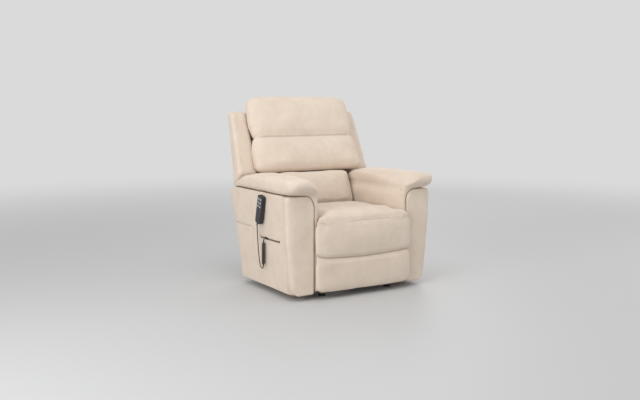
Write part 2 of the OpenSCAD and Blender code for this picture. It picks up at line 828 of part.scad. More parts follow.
module foot_brackets() {
    y0 = -board_ahead + board_t;
    color("dimgray")
        both_sides() {
            plate(layer_u, plate_t) {
                for (p = [foot_m, foot_n])
                    translate(p)
                        circle(d = foot_link_w);
                polygon([[y0, foot_n[1] - foot_link_w], foot_n - [0, foot_link_w / 2],
                    foot_n + [foot_link_w * 2 / 5, -foot_link_w / 4],
                    foot_m + [foot_link_w / 3, foot_link_w / 3], [y0, foot_m[1] + foot_link_w]]);
            }
            translate([layer_m - foot_link_w, y0, foot_n[1] - foot_link_w])
                cube([layer_u - layer_m + foot_link_w + plate_t, plate_t / 2,
                    foot_m[1] - foot_n[1] + 2 * foot_link_w]);
            stud(foot_m, layer_u, layer_m + plate_t, layer_m, foot_stud_r);
            stud(foot_n, layer_u + plate_t, layer_n, layer_n + plate_t, foot_stud_r);
        }
}
module foot_pad(z0, z1, crown) {
    color("bisque")
        translate([0, -board_ahead, 0])
            rotate([90, 0, 0])
                cushion(pad_half, z0, z1, soft_gap, pad_t, crown, pad_t / 4);
}
module foot_upper_pad() {
    foot_pad(pad_seam_z + soft_gap, board_top, upper_pad_crown);
}
module foot_lower_pad() {
    foot_pad(skirt_z, pad_seam_z - soft_gap, upper_pad_crown / 3);
}
module leg_motor() {
    act_housing(leg_act_foot, leg_act_head, -act_side, leg_act_l, -1);
}
module leg_rod() {
    act_rod(leg_act_foot, leg_act_head, -act_side, act_rod_tail);
}

// Arms. The rear edge curves back up to arm_rear_z, then forward under the pad.
rear_power_share = 1.5;
rear_steps = 8;
function arm_rear(z) = arm_rear_low + (arm_rear_high - arm_rear_low)
    * pow(max(0, z - skirt_z) / (arm_rear_z - skirt_z), rear_power_share);
// Points of the arm's rear outline, inset by d
function rear_curve(d) = concat(
    [for (k = [0:rear_steps]) let (z = skirt_z + (arm_rear_z - skirt_z) * k / rear_steps)
        [arm_rear(z) - d, z]],
    [[arm_rear_high - (arm_seam_z - arm_rear_z) / 2 - d, (arm_rear_z + arm_seam_z) / 2],
        [arm_rear_high - (arm_seam_z - arm_rear_z) - d, arm_seam_z]]);
flare = atan2(arm_half_high - arm_half_low, arm_seam_z - skirt_z);
// Everything inside the arm's flared side, drawn in by d
module inside_flare(d) {
    reach = 2 * arm_half_high;
    translate([arm_half_low, 0, skirt_z])
        rotate([0, flare, 0])
            translate([-reach - d, -reach, -reach])
                cube([reach, 2 * reach, 2 * reach]);
}
board_x = arm_gap_half + arm_board_t;
front_edge = -arm_front + arm_front_d;
module arm_side_solid() {
    difference() {
        intersection() {
            plate(board_x, arm_half_high)
                polygon(concat([[front_edge + soft_gap, skirt_z]], rear_curve(0),
                    [[front_edge + soft_gap, arm_seam_z]]));
            inside_flare(0);
        }
        intersection() {
            plate(board_x - cut, arm_half_high)
                polygon(concat([[front_edge - cut, skirt_z - cut]],
                    [for (p = rear_curve(arm_panel_t)) [p[0], p[1] == skirt_z ? p[1] - cut : p[1]]],
                    [[front_edge - cut, arm_seam_z + cut]]));
            inside_flare(arm_panel_t);
        }
        // The return at the rear stops under the top rail
        translate([board_x - cut, front_edge, arm_seam_z - arm_panel_t])
            cube([arm_half_low - board_x - arm_panel_t, arm_rear_high - front_edge, arm_panel_t + cut]);
    }
}
module arm_side_left() {
    color("bisque")
        arm_side_solid();
}
module pocket_cut() {
    translate([board_x + arm_panel_t, -pocket_ahead - pocket_w, pocket_z])
        cube([arm_half_high, pocket_w, pocket_slit]);
}
module arm_side_right() {
    color("bisque")
        mirror([1, 0, 0])
            difference() {
                arm_side_solid();
                pocket_cut();
            }
}
module arm_frame_solid() {
    top_h = arm_board_t + plate_t;
    y0 = front_edge + soft_gap;
    y1 = arm_rear_low - 2 * arm_panel_t;
    low = skirt_z + arm_panel_t;
    plate(arm_gap_half, arm_board_t)
        polygon([[-arm_front + 4 * plate_t, low], [y1, low],
            [arm_rear_high - 3 * arm_panel_t, arm_rear_z - arm_panel_t],
            [arm_rear_high - 3 * arm_panel_t, arm_seam_z - soft_gap],
            [-arm_front + 4 * plate_t, arm_seam_z - soft_gap]]);
    translate([board_x, y0, arm_seam_z - top_h - soft_gap])
        cube([arm_half_high - 2 * arm_panel_t - board_x, arm_rear_high - 3 * arm_panel_t - y0, top_h]);
    translate([board_x, y0, low])
        cube([arm_half_low - arm_panel_t - 2 * soft_gap - board_x, y1 - y0, top_h]);
    translate([board_x, y1 - arm_board_t, low])
        cube([arm_half_low - 2 * arm_panel_t - board_x, arm_board_t, arm_seam_z - low - top_h / 2]);
}
module arm_frames() {
    color("burlywood")
        both_sides()
            arm_frame_solid();
}
corner_n = 6;
seam_r = 46;
// Corner that the post leaves under the pad, where the seam turns down the inner edge,
// grown by d into the post
module seam_corner(y0, y1, d) {
    translate([board_x, y1, arm_seam_z - seam_r])
        rotate([90, 0, 0])
            linear_extrude(y1 - y0)
                difference() {
                    square([seam_r, seam_r + d]);
                    translate([seam_r, 0])
                        circle(r = seam_r - d);
                }
}
// Padded front, flared like the side, with a round outer corner that bulges and that rounds in
// at the foot. Its stations are shares of the height and of the bulge.
front_station_shares = [[0, -1.6], [0.02, -0.6], [0.06, 0.1], [0.15, 0.5], [0.4, 0.85], [0.7, 1],
    [0.94, 0.8], [1, 0.3]];
module arm_front_solid() {
    c = arm_half_low - arm_corner_r;
    rings = [for (s = front_station_shares)
        let (grow = s[0] * (arm_half_high - arm_half_low), z = skirt_z + s[0] * (arm_seam_z - skirt_z))
        concat([[board_x, front_edge, z], [board_x, -arm_front, z], [c + grow, -arm_front, z]],
            [for (i = [1:corner_n]) let (a = 90 * i / corner_n)
                [c + grow + (arm_corner_r + s[1] * arm_puff) * sin(a),
                    -arm_front + arm_corner_r * (1 - cos(a)), z]],
            [[arm_half_low + grow, front_edge, z]])];
    difference() {
        skin(rings);
        translate([-cut, 0, 0])
            seam_corner(-arm_front - cut, front_edge + cut, 0);
        seam_corner(-arm_front - cut, front_edge + cut, soft_gap);
    }
}
module arm_fronts() {
    color("bisque")
        both_sides()
            arm_front_solid();
}
// Padding of the arm's inner face: a strip down the front and a bulge over the seat
inner_low_z = 398;
module arm_inner_solid() {
    strip_d = 4 * plate_t - soft_gap;
    x0 = arm_gap_half - plate_t;
    translate([x0, -arm_front + cut, skirt_z + cut])
        cube([arm_board_t + plate_t - soft_gap, strip_d - cut, arm_seam_z - skirt_z - 2 * cut]);
    // The strip widens into the corner over the post
    intersection() {
        seam_corner(-arm_front + cut, front_edge - soft_gap, 0);
        translate([x0, -arm_front + cut, skirt_z])
            cube([arm_half_low, arm_front_d, arm_seam_z - skirt_z - cut]);
    }
    translate([board_x - cut, -arm_front + cut, arm_seam_z - seam_r / 3])
        cube([2 * cut, strip_d - cut, seam_r / 3 - cut]);
    translate([arm_gap_half - soft_gap, 0, 0])
        rotate([90, 0, -90])
            skin([
                ring_yz(-arm_front + 5 * plate_t, arm_rear_low - plate_t, inner_low_z, arm_seam_z, 0),
                ring_yz(-arm_front + 5 * plate_t, arm_rear_low - plate_t, inner_low_z, arm_seam_z,
                    plate_t - soft_gap),
                ring_yz(-arm_front + 20 * plate_t, arm_rear_low - 12 * plate_t,
                    inner_low_z + 4 * plate_t, arm_seam_z - 4 * plate_t, inner_bulge * 2 / 3),
                ring_yz(-arm_front + 50 * plate_t, arm_rear_low - 25 * plate_t,
                    inner_low_z + 10 * plate_t, arm_seam_z - 10 * plate_t, inner_bulge)]);
}
function ring_yz(y0, y1, z0, z1, h) = [
    for (k = [0:form_n - 1])
        let (a = 360 * k / form_n, u = soft_sign(cos(a)), v = soft_sign(sin(a)))
        [-(y0 + y1) / 2 + (y1 - y0) / 2 * u, (z0 + z1) / 2 + (z1 - z0) / 2 * v, h]];
module arm_inner_panels() {
    color("bisque")
        both_sides()
            arm_inner_solid();
}
// Arm pad: sections across the arm, from the nose to the rear. Each station gives its place as a
// share of the run, then its inner and outer half width, its height and the lift of its underside.
pad_stations_shares = [[0, 0.4, 0.62, 0.3, 0.52], [0.008, 0.58, 0.8, 0.6, 0.4],
    [0.03, 0.74, 0.93, 0.86, 0.2], [0.08, 0.88, 1, 1, 0.04], [0.17, 0.97, 1, 1, 0],
    [0.4, 1, 1, 1, 0], [0.7, 1, 1, 0.98, 0], [0.84, 1, 0.98, 0.76, 0],
    [0.93, 1, 0.96, 0.44, 0], [1, 1, 0.94, 0.08, 0]];
pad_rear_reach = 262;
pad_in_half = arm_gap_half - pad_inside;
pad_out_half = arm_half_high + pad_over;
pad_power_share = 0.5;
function pad_soft(v) = sign(v) * pow(abs(v), pad_power_share);
module arm_pad_solid() {
    x = (pad_in_half + pad_out_half) / 2;
    w = (pad_out_half - pad_in_half) / 2;
    h = pad_crest_z - arm_seam_z - soft_gap;
    run = pad_nose + pad_rear_reach;
    skin([for (s = pad_stations_shares)
        [for (k = [0:form_n - 1])
            let (a = -360 * k / form_n, u = pad_soft(cos(a)), v = pad_soft(sin(a)))
            [x + w * (u < 0 ? s[1] : s[2]) * u, -pad_nose + run * s[0],
                arm_seam_z + soft_gap + s[4] * h + h * s[3] * (1 + v) / 2 * (1 - s[4] / 2)]]]);
}
module arm_pad_left() {
    color("bisque")
        arm_pad_solid();
}
module arm_pad_right() {
    color("bisque")
        mirror([1, 0, 0])
            arm_pad_solid();
}
bag_wall = 2;
bag_t = 40;
// Space between two depths behind the flared side
module flare_slab(d0, d1) {
    difference() {
        inside_flare(d0);
        inside_flare(d1);
    }
}
module pocket_block(d) {
    low = pocket_z - pocket_deep;
    translate([board_x, -pocket_ahead - pocket_w - d, low - d])
        cube([arm_half_high, pocket_w + 2 * d, pocket_z + pocket_slit - low + 2 * d]);
}
module side_pocket() {
    d0 = arm_panel_t + soft_gap;
    color("tan")
        mirror([1, 0, 0])
            difference() {
                intersection() {
                    pocket_block(bag_wall);
                    flare_slab(d0, d0 + bag_t);
                }
                intersection() {
                    pocket_block(0);
                    flare_slab(d0 + bag_wall, d0 + bag_t - bag_wall);
                }
                intersection() {
                    pocket_cut();
                    flare_slab(0, d0 + 2 * bag_wall);
                }
            }
}

// Back, in its own frame: x across, y into the back, z up along the lean
module on_back() {
    translate([0, back_foot_y, back_foot_z])
        rotate([-back_lean, 0, 0])
            children();
}
function back_local(p) = let (d = p - [back_foot_y, back_foot_z])
    [d[0] * cos(back_lean) - d[1] * sin(back_lean), d[0] * sin(back_lean) + d[1] * cos(back_lean)];
shell_top = back_local([shell_rear_top, shell_top_z]);
shell_low = back_local([shell_rear_low, shell_low_z]);
function shell_rear(u) = shell_top[0] + (shell_low[0] - shell_top[0])
    * (u - shell_top[1]) / (shell_low[1] - shell_top[1]);
rail_high = 560;
rail_d0 = cushion_d + strap_t;
module back_side_rails() {
    color("burlywood")
        on_back()
            both_sides()
                difference() {
                    translate([back_rail_x - back_rail_w, rail_d0, rail_low])
                        cube([back_rail_w, back_rail_d, rail_high - rail_low]);
                }
}
back_pivot_local = back_local(back_pivot);
rail_low = back_pivot_local[1] + lobe_r;
crank_foot_back = 45;
crank_foot_down = 95;
back_act_head = back_pivot + [crank_foot_back, -crank_foot_down];
module back_cross_rails() {
    half = back_rail_x - back_rail_w;
    color("burlywood")
        on_back() {
            for (z = [rail_low, (rail_low + rail_high) / 2, rail_high - back_rail_w])
                translate([-half, rail_d0, z])
                    cube([2 * half, back_rail_d, back_rail_w]);
            translate([-wing_x, rail_d0, rail_high])
                cube([2 * wing_x, back_rail_d, back_rail_w]);
        }
}
module back_brackets() {
    r = lift_stud_r + bore_fit;
    q = back_pivot_local;
    color("dimgray") {
        on_back()
            both_sides()
                plate(back_rail_x, plate_t)
                    difference() {
                        union() {
                            translate(q)
                                circle(r = lobe_r - slack);
                            polygon([q + [-lobe_r + slack, 0], [rail_d0, -lobe_r * 2 / 3],
                                [rail_d0, q[1] + 6 * lobe_r],
                                [rail_d0 + back_rail_d, q[1] + 6 * lobe_r],
                                [rail_d0 + back_rail_d, rail_low], q + [lobe_r / 2, -lobe_r + 4 * slack]]);
                        }
                        translate(q)
                            circle(r = r);
                    }
        foot = on_world([rail_d0 + back_rail_d / 2, rail_low + eye_r]);
        for (s = [-1, 1])
            plate(act_side + s * (eye_w / 2 + cheek_gap + cheek_t / 2) - cheek_t / 2, cheek_t)
                difference() {
                    bar_2d(back_act_head, foot, 2 * eye_r);
                    translate([back_foot_y, back_foot_z])
                        rotate(-back_lean)
                            translate([0, rail_low - cheek_t / 2])
                                square(back_rail_d + shell_top[0]);
                }
        on_back()
            translate([act_side - eye_w - cheek_t, rail_d0 + cheek_t, rail_low - cheek_t])
                cube([2 * (eye_w + cheek_t), back_rail_d - 2 * cheek_t, cheek_t]);
        for (s = [-1, 1])
            translate([act_side + s * (eye_w / 2 + cheek_gap + cheek_t) - (s < 0 ? cheek_t : 0),
                back_act_head[0], back_act_head[1]])
                rotate([0, 90, 0])
                    cylinder(r = act_pin_r + head_lip / 2, h = cheek_t, $fn = 6);
    }
}
function on_world(q) = [back_foot_y, back_foot_z]
    + [q[0] * cos(back_lean) + q[1] * sin(back_lean), -q[0] * sin(back_lean) + q[1] * cos(back_lean)];
module back_webbing() {
    color("saddlebrown")
        on_back()
            for (k = [0:straps])
                translate([-back_rail_x, cushion_d, lobe_r + k * (rail_high - 2 * strap_w) / straps])
                    cube([2 * back_rail_x, strap_t, strap_w]);
}
// Wings: padded sides of the shell, standing clear above the arms
wing_gap = 6;
wing_over_z = 614;
wing_over_y = 203;
wing_low_up = 44;
wing_top_d = 84;
// Outline of a wing at height u along the back, with its outer corners round
function wing_ring(u) =
    let (out = shell_half_low + (shell_half_top - shell_half_low) * (u - shell_low[1])
        / (shell_top[1] - shell_low[1]), rear = shell_rear(u) - rear_panel_t - soft_gap,
        turn = [for (i = [0:corner_n]) 90 * i / corner_n])
    concat([[wing_x + soft_gap, cushion_d, u]],
        [for (a = turn) [out - wing_edge * (1 - sin(a)), cushion_d + wing_edge * (1 - cos(a)), u]],
        [for (a = turn) [out - wing_round * (1 - cos(a)), rear - wing_round * (1 - sin(a)), u]],
        [[wing_x + soft_gap, rear, u]]);
module back_wings() {
    low = [
        [wing_over_y, wing_over_z + wing_gap],
        [arm_rear_high - 2 * (arm_seam_z - arm_rear_z), arm_seam_z + wing_low_up],
        [arm_rear_high - (arm_seam_z - arm_rear_z) + wing_gap, arm_seam_z + 2 * wing_gap],
        [shell_rear_low + wing_gap / 2, shell_low_z + 3 * wing_gap]];
    top = [[shell_rear_top, shell_top_z], [shell_rear_top - wing_top_d, shell_top_z]];
    color("bisque")
        on_back()
            both_sides()
                intersection() {
                    plate(wing_x, shell_half_low)
                        polygon([for (p = concat([[wing_over_y - wing_gap, wing_over_z + 3 * wing_gap]],
                            low, top)) back_local(p)]);
                    skin([wing_ring(shell_low[1]), wing_ring(shell_top[1])]);
                }
}
rear_panel_down = 30;
module rear_panel() {
    low = [-rear_panel_down, shell_low[1] + 2 * lobe_r];
    half = arm_gap_half - rear_panel_t;
    tilt = atan2(shell_low[0] - shell_top[0], shell_top[1] - shell_low[1]);
    w0 = shell_half_low - wing_round;
    w1 = shell_half_top - wing_round / 2;
    color("bisque")
        on_back()
            translate([0, shell_rear(0), 0])
                rotate([90 + tilt, 0, 0])
                    linear_extrude(rear_panel_t)
                        polygon([[-half, low[0]], [half, low[0]], [half, low[1]], [w0, low[1]],
                            [w1, shell_top[1]], [-w1, shell_top[1]], [-w0, low[1]], [-half, low[1]]]);
}
// A back cushion between two heights along the back
back_round = 24;
back_crown = 14;
head_narrow_share = 0.1;
module back_cushion(w, z0, z1, d, narrow = 0) {
    color("bisque")
        on_back()
            rotate([90, 0, 0])
                cushion(w, z0 + soft_gap, z1 - soft_gap, -d, -back_crown, back_crown, back_round, narrow);
}
module lumbar_cushion() {
    back_cushion(lumbar_half, -lobe_r / 2, lumbar_top, cushion_d - soft_gap);
}
module middle_cushion() {
    back_cushion(middle_half, lumbar_top, middle_top, cushion_d - soft_gap);
}
module head_cushion() {
    back_cushion(head_half, middle_top, head_top, cushion_d - soft_gap, head_narrow_share);
}
module back_motor() {
    act_housing(back_act_foot, back_act_head, act_side, back_act_l, 1);
}
module back_rod() {
    act_rod(back_act_foot, back_act_head, act_side, back_act_l - 3 * eye_r);
}

// Handset on its hook at the sitter's right. Half width over the arm's side at height z
function arm_half(z) = arm_half_low + tan(flare) * (z - skirt_z);
handset_x = arm_half(handset_z) + handset_stand;
module on_handset() {
    translate([-handset_x - handset_t / 2, -handset_ahead, handset_z])
        rotate([handset_lean, 0, 0])
            rotate([0, 0, -90])
                children();
}
body_round = 12;
button_pitch_x = 21;
button_pitch_z = 20;
button_row_z = 18;
button_h = 5;
button_fit = 0.3;
well_deep = 7;
button_proud = 1.6;
module handset_shape(d) {
    linear_extrude(handset_t - 2 * d)
        difference() {
            square([handset_w - 2 * d, handset_l - 2 * d], center = true);
            for (x = [-1, 1])
                for (z = [-1, 1])
                    translate([x * (handset_w / 2 - d), z * (handset_l / 2 - d)])
                        difference() {
                            translate([x > 0 ? -body_round : -cut, z > 0 ? -body_round : -cut])
                                square(body_round + cut);
                            translate([-x * body_round, -z * body_round])
                                circle(r = body_round);
                        }
        }
}
module handset_body() {
    color("black")
        on_handset()
            difference() {
                rotate([90, 0, 0])
                    translate([0, 0, -handset_t / 2])
                        handset_shape(0);
                for (x = [-1, 1])
                    for (k = [0:2])
                        button_place(x, k)
                            cylinder(d = button_d + 2 * button_fit, h = well_deep + cut);
            }
}
// Places a button with its axis out of the handset's face, z = 0 at the floor of its well
module button_place(x, k) {
    translate([x * button_pitch_x / 2, -handset_t / 2 + well_deep, button_row_z + k * button_pitch_z])
        rotate([90, 0, 0])
            children();
}
// The button's own disc, standing proud of the handset's face
module button(x, k) {
    color("lightgray")
        on_handset()
            button_place(x, k)
                translate([0, 0, well_deep + button_proud - button_h])
                    cylinder(d = button_d, h = button_h);
}
module button_raise() {
    button(-1, 2);
}
module button_lower() {
    button(1, 2);
}
module button_back_down() {
    button(-1, 1);
}
module button_back_up() {
    button(1, 1);
}
module button_legs_out() {
    button(-1, 0);
}
module button_legs_in() {
    button(1, 0);
}
hook_w = 26;
hook_h = 54;
hook_t = 2.4;
module handset_hook() {
    z = handset_z + hook_h / 4;
    x0 = arm_half(z - hook_h / 2);
    color("black")
        mirror([1, 0, 0])
            intersection() {
                difference() {
                    translate([x0 - hook_t, -handset_ahead - hook_w / 2, z - hook_h / 2])
                        cube([handset_x - x0 + hook_t, hook_w, hook_h]);
                    inside_flare(0);
                    translate([x0 - 2 * hook_t, -handset_ahead - hook_w, z - hook_h])
                        cube([handset_x - x0 + hook_t, 2 * hook_w, hook_h * 3 / 4]);
                }
                translate([0, -handset_ahead - hook_w, skirt_z])
                    cube([2 * arm_half_high, 2 * hook_w, arm_seam_z - skirt_z]);
            }
}

// Tube of n sides swept along points
function unit(v) = v / norm(v);
function tangent(p, i) = unit(i == 0 ? p[1] - p[0]
    : i == len(p) - 1 ? p[i] - p[i - 1] : unit(p[i + 1] - p[i]) + unit(p[i] - p[i - 1]));
module sweep(p, d, n) {
    frames = [for (i = 0, t = tangent(p, 0), s = unit(cross(t, abs(t[0]) < 0.9 ? [1, 0, 0] : [0, 1, 0]));
        i < len(p);
        i = i + 1, t = i < len(p) ? tangent(p, i) : t, s = unit(s - t * (s * t))) [t, s]];
    skin([for (i = [0:len(p) - 1])
        let (t = frames[i][0], s = frames[i][1], b = cross(t, s))
        [for (k = [0:n - 1]) p[i] + d / 2 * (s * cos(360 * k / n) + b * sin(360 * k / n))]]);
}
// Smooth curve through hand-set points
function spline(p, m) = concat([for (i = [0:len(p) - 2]) for (j = [0:m - 1])
    let (t = j / m, a = p[max(0, i - 1)], b = p[i], c = p[i + 1], d = p[min(len(p) - 1, i + 2)])
    0.5 * ((2 * b) + (c - a) * t + (2 * a - 5 * b + 4 * c - d) * t * t
        + (3 * b - a - 3 * c + d) * t * t * t)], [p[len(p) - 1]]);
// Points of the cord, each with its distance out from the arm's side
function on_panel(p) = [-arm_half(p[2]) - p[0], p[1], p[2]];
lead_route = [for (p = [[21, -69, 384], [22, -66, 372], [22, -62, 348], [22, -60, 310],
    [22, -61, 270], [23, -62, 230], [22, -64, 190], [21, -67, 158], [20, -73, 140], [18, -83, 131],
    [16, -91, 135], [15, -95, 143], [15, -96, 149]]) on_panel(p)];
tail_route = [for (p = [[14, -112, 282], [14, -112.5, 286], [13, -113, 291], [10, -113, 296],
    [5, -113, 298], [1, -113, 299], [-2, -113, 299], [-4, -113, 299]]) on_panel(p)];
module cord_lead() {
    color("dimgray")
        sweep(spline(lead_route, 4), lead_d, 8);
}
module cord_tail() {
    color("dimgray")
        sweep(spline(tail_route, 3), lead_d, 8);
}
curl_rings = 8;
curl_start = lead_route[len(lead_route) - 1];
curl_end = tail_route[0];
curl_axis = unit(curl_end - curl_start);
curl_side = unit(cross(curl_axis, [0, 1, 0]));
curl_out = cross(curl_axis, curl_side);
curl_run = norm(curl_end - curl_start);
wire_thin = 0.6;
wire_d = lead_d - wire_thin;
curl_points = [for (k = [0:curls * curl_rings])
    let (t = k / (curls * curl_rings), a = 360 * k / curl_rings,
        r = (curl_d - wire_d) / 2 * min(1, min(t, 1 - t) * curls))
    curl_start + curl_axis * (wire_d + (curl_run - 2 * wire_d) * t)
        + r * (curl_side * cos(a) + curl_out * sin(a))];
curl_path = concat([curl_start], curl_points, [curl_end]);
curl_gap = min([for (i = [curl_rings:len(curl_points) - curl_rings - 1])
    for (j = [i + curl_rings - 2:min(i + curl_rings + 2, len(curl_points) - 1)])
    norm(curl_points[i] - curl_points[j])]) - wire_d;
echo(least_gap_between_curls = curl_gap);
module cord_curls() {
    color("dimgray")
        sweep(curl_path, wire_d, 6);
}
grommet_r = pocket_slit / 2;
module cord_grommet() {
    p = tail_route[len(tail_route) - 1];
    color("black")
        translate([p[0], p[1], p[2]])
            rotate([0, 90, 0])
                cylinder(r = grommet_r, h = arm_panel_t / 2);
}

base_side_rails();
base_cross_tubes();
base_glides();
base_lift_plates();
power_supply();
lift_front_links();
lift_rear_links();
lift_tie_tube();
lift_motor();
lift_rod();
side_plates();
chassis_cross_tubes();
seat_side_rails();
seat_end_rails();
seat_webbing();
seat_cushion();
control_box();
arm_mount_blocks();
foot_upper_links();
foot_lower_links();
foot_torque_tube();
foot_long_links();
foot_control_links();
foot_board();
foot_brackets();
foot_upper_pad();
foot_lower_pad();
leg_motor();
leg_rod();
arm_frames();
arm_side_left();
arm_side_right();
arm_fronts();
arm_inner_panels();
arm_pad_left();
arm_pad_right();
side_pocket();
back_side_rails();
back_cross_rails();
back_brackets();
back_webbing();
back_wings();
rear_panel();
lumbar_cushion();
middle_cushion();
head_cushion();
back_motor();
back_rod();
handset_hook();
handset_body();
button_raise();
button_lower();
button_back_down();
button_back_up();
button_legs_out();
button_legs_in();
cord_lead();
cord_curls();
cord_tail();
cord_grommet();
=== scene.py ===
"""Looks of the lift recliner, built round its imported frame: cord, handset, upholstery, mechanism."""

import json
import math

import bpy
import numpy as np
from mathutils import Matrix, Vector, noise
from mathutils.bvhtree import BVHTree
from mathutils.kdtree import KDTree

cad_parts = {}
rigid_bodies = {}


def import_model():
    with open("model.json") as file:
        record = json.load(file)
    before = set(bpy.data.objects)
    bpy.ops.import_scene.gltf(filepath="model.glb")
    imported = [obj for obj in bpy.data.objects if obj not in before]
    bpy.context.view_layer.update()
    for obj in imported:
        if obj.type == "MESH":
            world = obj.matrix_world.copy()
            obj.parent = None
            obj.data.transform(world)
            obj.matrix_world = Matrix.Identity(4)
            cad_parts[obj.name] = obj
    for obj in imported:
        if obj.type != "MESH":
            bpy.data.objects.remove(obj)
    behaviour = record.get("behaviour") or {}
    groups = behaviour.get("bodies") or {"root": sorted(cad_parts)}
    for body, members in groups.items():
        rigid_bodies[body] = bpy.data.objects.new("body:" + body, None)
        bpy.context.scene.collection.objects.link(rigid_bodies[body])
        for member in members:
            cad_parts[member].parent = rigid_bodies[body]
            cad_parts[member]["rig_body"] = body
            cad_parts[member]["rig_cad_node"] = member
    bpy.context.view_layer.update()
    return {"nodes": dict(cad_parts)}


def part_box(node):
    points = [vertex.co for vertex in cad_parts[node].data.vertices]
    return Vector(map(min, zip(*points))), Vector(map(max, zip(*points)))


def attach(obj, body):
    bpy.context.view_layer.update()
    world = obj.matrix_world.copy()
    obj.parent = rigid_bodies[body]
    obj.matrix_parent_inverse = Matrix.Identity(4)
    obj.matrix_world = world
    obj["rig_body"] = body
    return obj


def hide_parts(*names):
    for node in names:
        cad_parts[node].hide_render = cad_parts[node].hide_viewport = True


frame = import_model()

# Studio
# A plain pale floor that fades into a pale background, one large soft lamp overhead and three
# round the chair, with the camera standing where the photograph was taken from.
camera_turn = math.radians(-31.371)
camera_rise = math.radians(7.006)
camera_place = (-2.4534, -3.9794, 1.041)
camera_lens = 46.08
background_grey = 0.70
sky_strength = 0.66
lamps = [  # place, width, power
    ((-0.9, -1.2, 3.4), 2.6, 32), ((-3.4, -1.6, 1.5), 2.4, 54),
    ((3.2, -1.6, 1.9), 2.4, 20), ((2.6, 2.8, 2.2), 2.0, 20)]
lamp_target = Vector((0, 0, 0.5))
floor_r = 14
floor_tone = (0.545, 0.547, 0.55)
floor_fade_near = 1.6
floor_fade_far = 7


def aim(thing, away):
    """Turns a camera or a lamp so that it looks along the opposite of away."""
    thing.rotation_mode = "QUATERNION"
    thing.rotation_quaternion = (-Vector(away)).to_track_quat("-Z", "Y")


bpy.ops.object.camera_add(location=camera_place)
camera = bpy.context.object
camera.data.lens = camera_lens
aim(camera, (math.sin(camera_turn) * math.cos(camera_rise),
             -math.cos(camera_turn) * math.cos(camera_rise), math.sin(camera_rise)))
bpy.context.scene.camera = camera
bpy.context.scene.view_settings.view_transform = "Standard"


def softbox(place, size, power):
    """A large round lamp, aimed at the middle of the chair."""
    bpy.ops.object.light_add(type="AREA", location=place)
    lamp = bpy.context.object
    lamp.data.shape = "DISK"
    lamp.data.size = size
    lamp.data.energy = power
    aim(lamp, Vector(place) - lamp_target)


for lamp_row in lamps:
    softbox(*lamp_row)


def plain_for_camera(tree, lit, shown):
    """Lets camera, mirror and glass rays see the shown shader where others get the lit one."""
    path = tree.nodes.new("ShaderNodeLightPath")
    first = tree.nodes.new("ShaderNodeMath")
    second = tree.nodes.new("ShaderNodeMath")
    mix = tree.nodes.new("ShaderNodeMixShader")
    first.operation = second.operation = "MAXIMUM"
    tree.links.new(path.outputs["Is Camera Ray"], first.inputs[0])
    tree.links.new(path.outputs["Is Glossy Ray"], first.inputs[1])
    tree.links.new(first.outputs[0], second.inputs[0])
    tree.links.new(path.outputs["Is Transmission Ray"], second.inputs[1])
    tree.links.new(second.outputs[0], mix.inputs[0])
    tree.links.new(lit, mix.inputs[1])
    tree.links.new(shown, mix.inputs[2])
    return mix.outputs[0]


world = bpy.data.worlds.new("Studio air")
bpy.context.scene.world = world
world.use_nodes = True
sky = world.node_tree.nodes["Background"]
sky.inputs["Color"].default_value = (1, 1, 1, 1)
sky.inputs["Strength"].default_value = sky_strength
seen_sky = world.node_tree.nodes.new("ShaderNodeBackground")
seen_sky.inputs["Color"].default_value = (background_grey,) * 3 + (1,)
world.node_tree.links.new(
    plain_for_camera(world.node_tree, sky.outputs[0], seen_sky.outputs[0]),
    world.node_tree.nodes["World Output"].inputs["Surface"])

bpy.ops.mesh.primitive_circle_add(vertices=96, radius=floor_r, fill_type="TRIFAN")
floor = bpy.context.object
floor.name = "studio_floor"
floor.data.materials.append(bpy.data.materials.new("Pale studio floor"))
floor.data.materials[0].use_nodes = True
floor_tree = floor.data.materials[0].node_tree
floor_paint = floor_tree.nodes["Principled BSDF"]
floor_paint.inputs["Base Color"].default_value = (*floor_tone, 1)
floor_paint.inputs["Roughness"].default_value = 0.55
floor_far = floor_tree.nodes.new("ShaderNodeEmission")
floor_far.inputs["Color"].default_value = (background_grey,) * 3 + (1,)
floor_place = floor_tree.nodes.new("ShaderNodeTexCoord")
floor_reach = floor_tree.nodes.new("ShaderNodeVectorMath")
floor_reach.operation = "LENGTH"
floor_fade = floor_tree.nodes.new("ShaderNodeMapRange")
floor_fade.interpolation_type = "SMOOTHSTEP"
floor_fade.inputs["From Min"].default_value = floor_fade_near
floor_fade.inputs["From Max"].default_value = floor_fade_far
floor_mix = floor_tree.nodes.new("ShaderNodeMixShader")
floor_tree.links.new(floor_place.outputs["Object"], floor_reach.inputs[0])
floor_tree.links.new(floor_reach.outputs["Value"], floor_fade.inputs["Value"])
floor_tree.links.new(floor_fade.outputs["Result"], floor_mix.inputs[0])
floor_tree.links.new(floor_paint.outputs[0], floor_mix.inputs[1])
floor_tree.links.new(floor_far.outputs[0], floor_mix.inputs[2])
floor_tree.links.new(floor_mix.outputs[0], floor_tree.nodes["Material Output"].inputs["Surface"])

# Handset lead
# A limp lead in a satin black jacket. It hangs straight from the handset, turns up, and runs
# in a long row of tight curls to a grommet in the side pocket's mouth.
lead_d = 0.005
wire_d = 0.0044
curl_d = 0.019
curls = 21
curl_steps = 16
arm_half_low = 0.423
arm_flare = 0.029 / 0.517
skirt_z = 0.030
smooth_steps = 6
jacket_tone = (0.03, 0.03, 0.032)
jacket_grain = 260
jacket_rough = (0.34, 0.52)
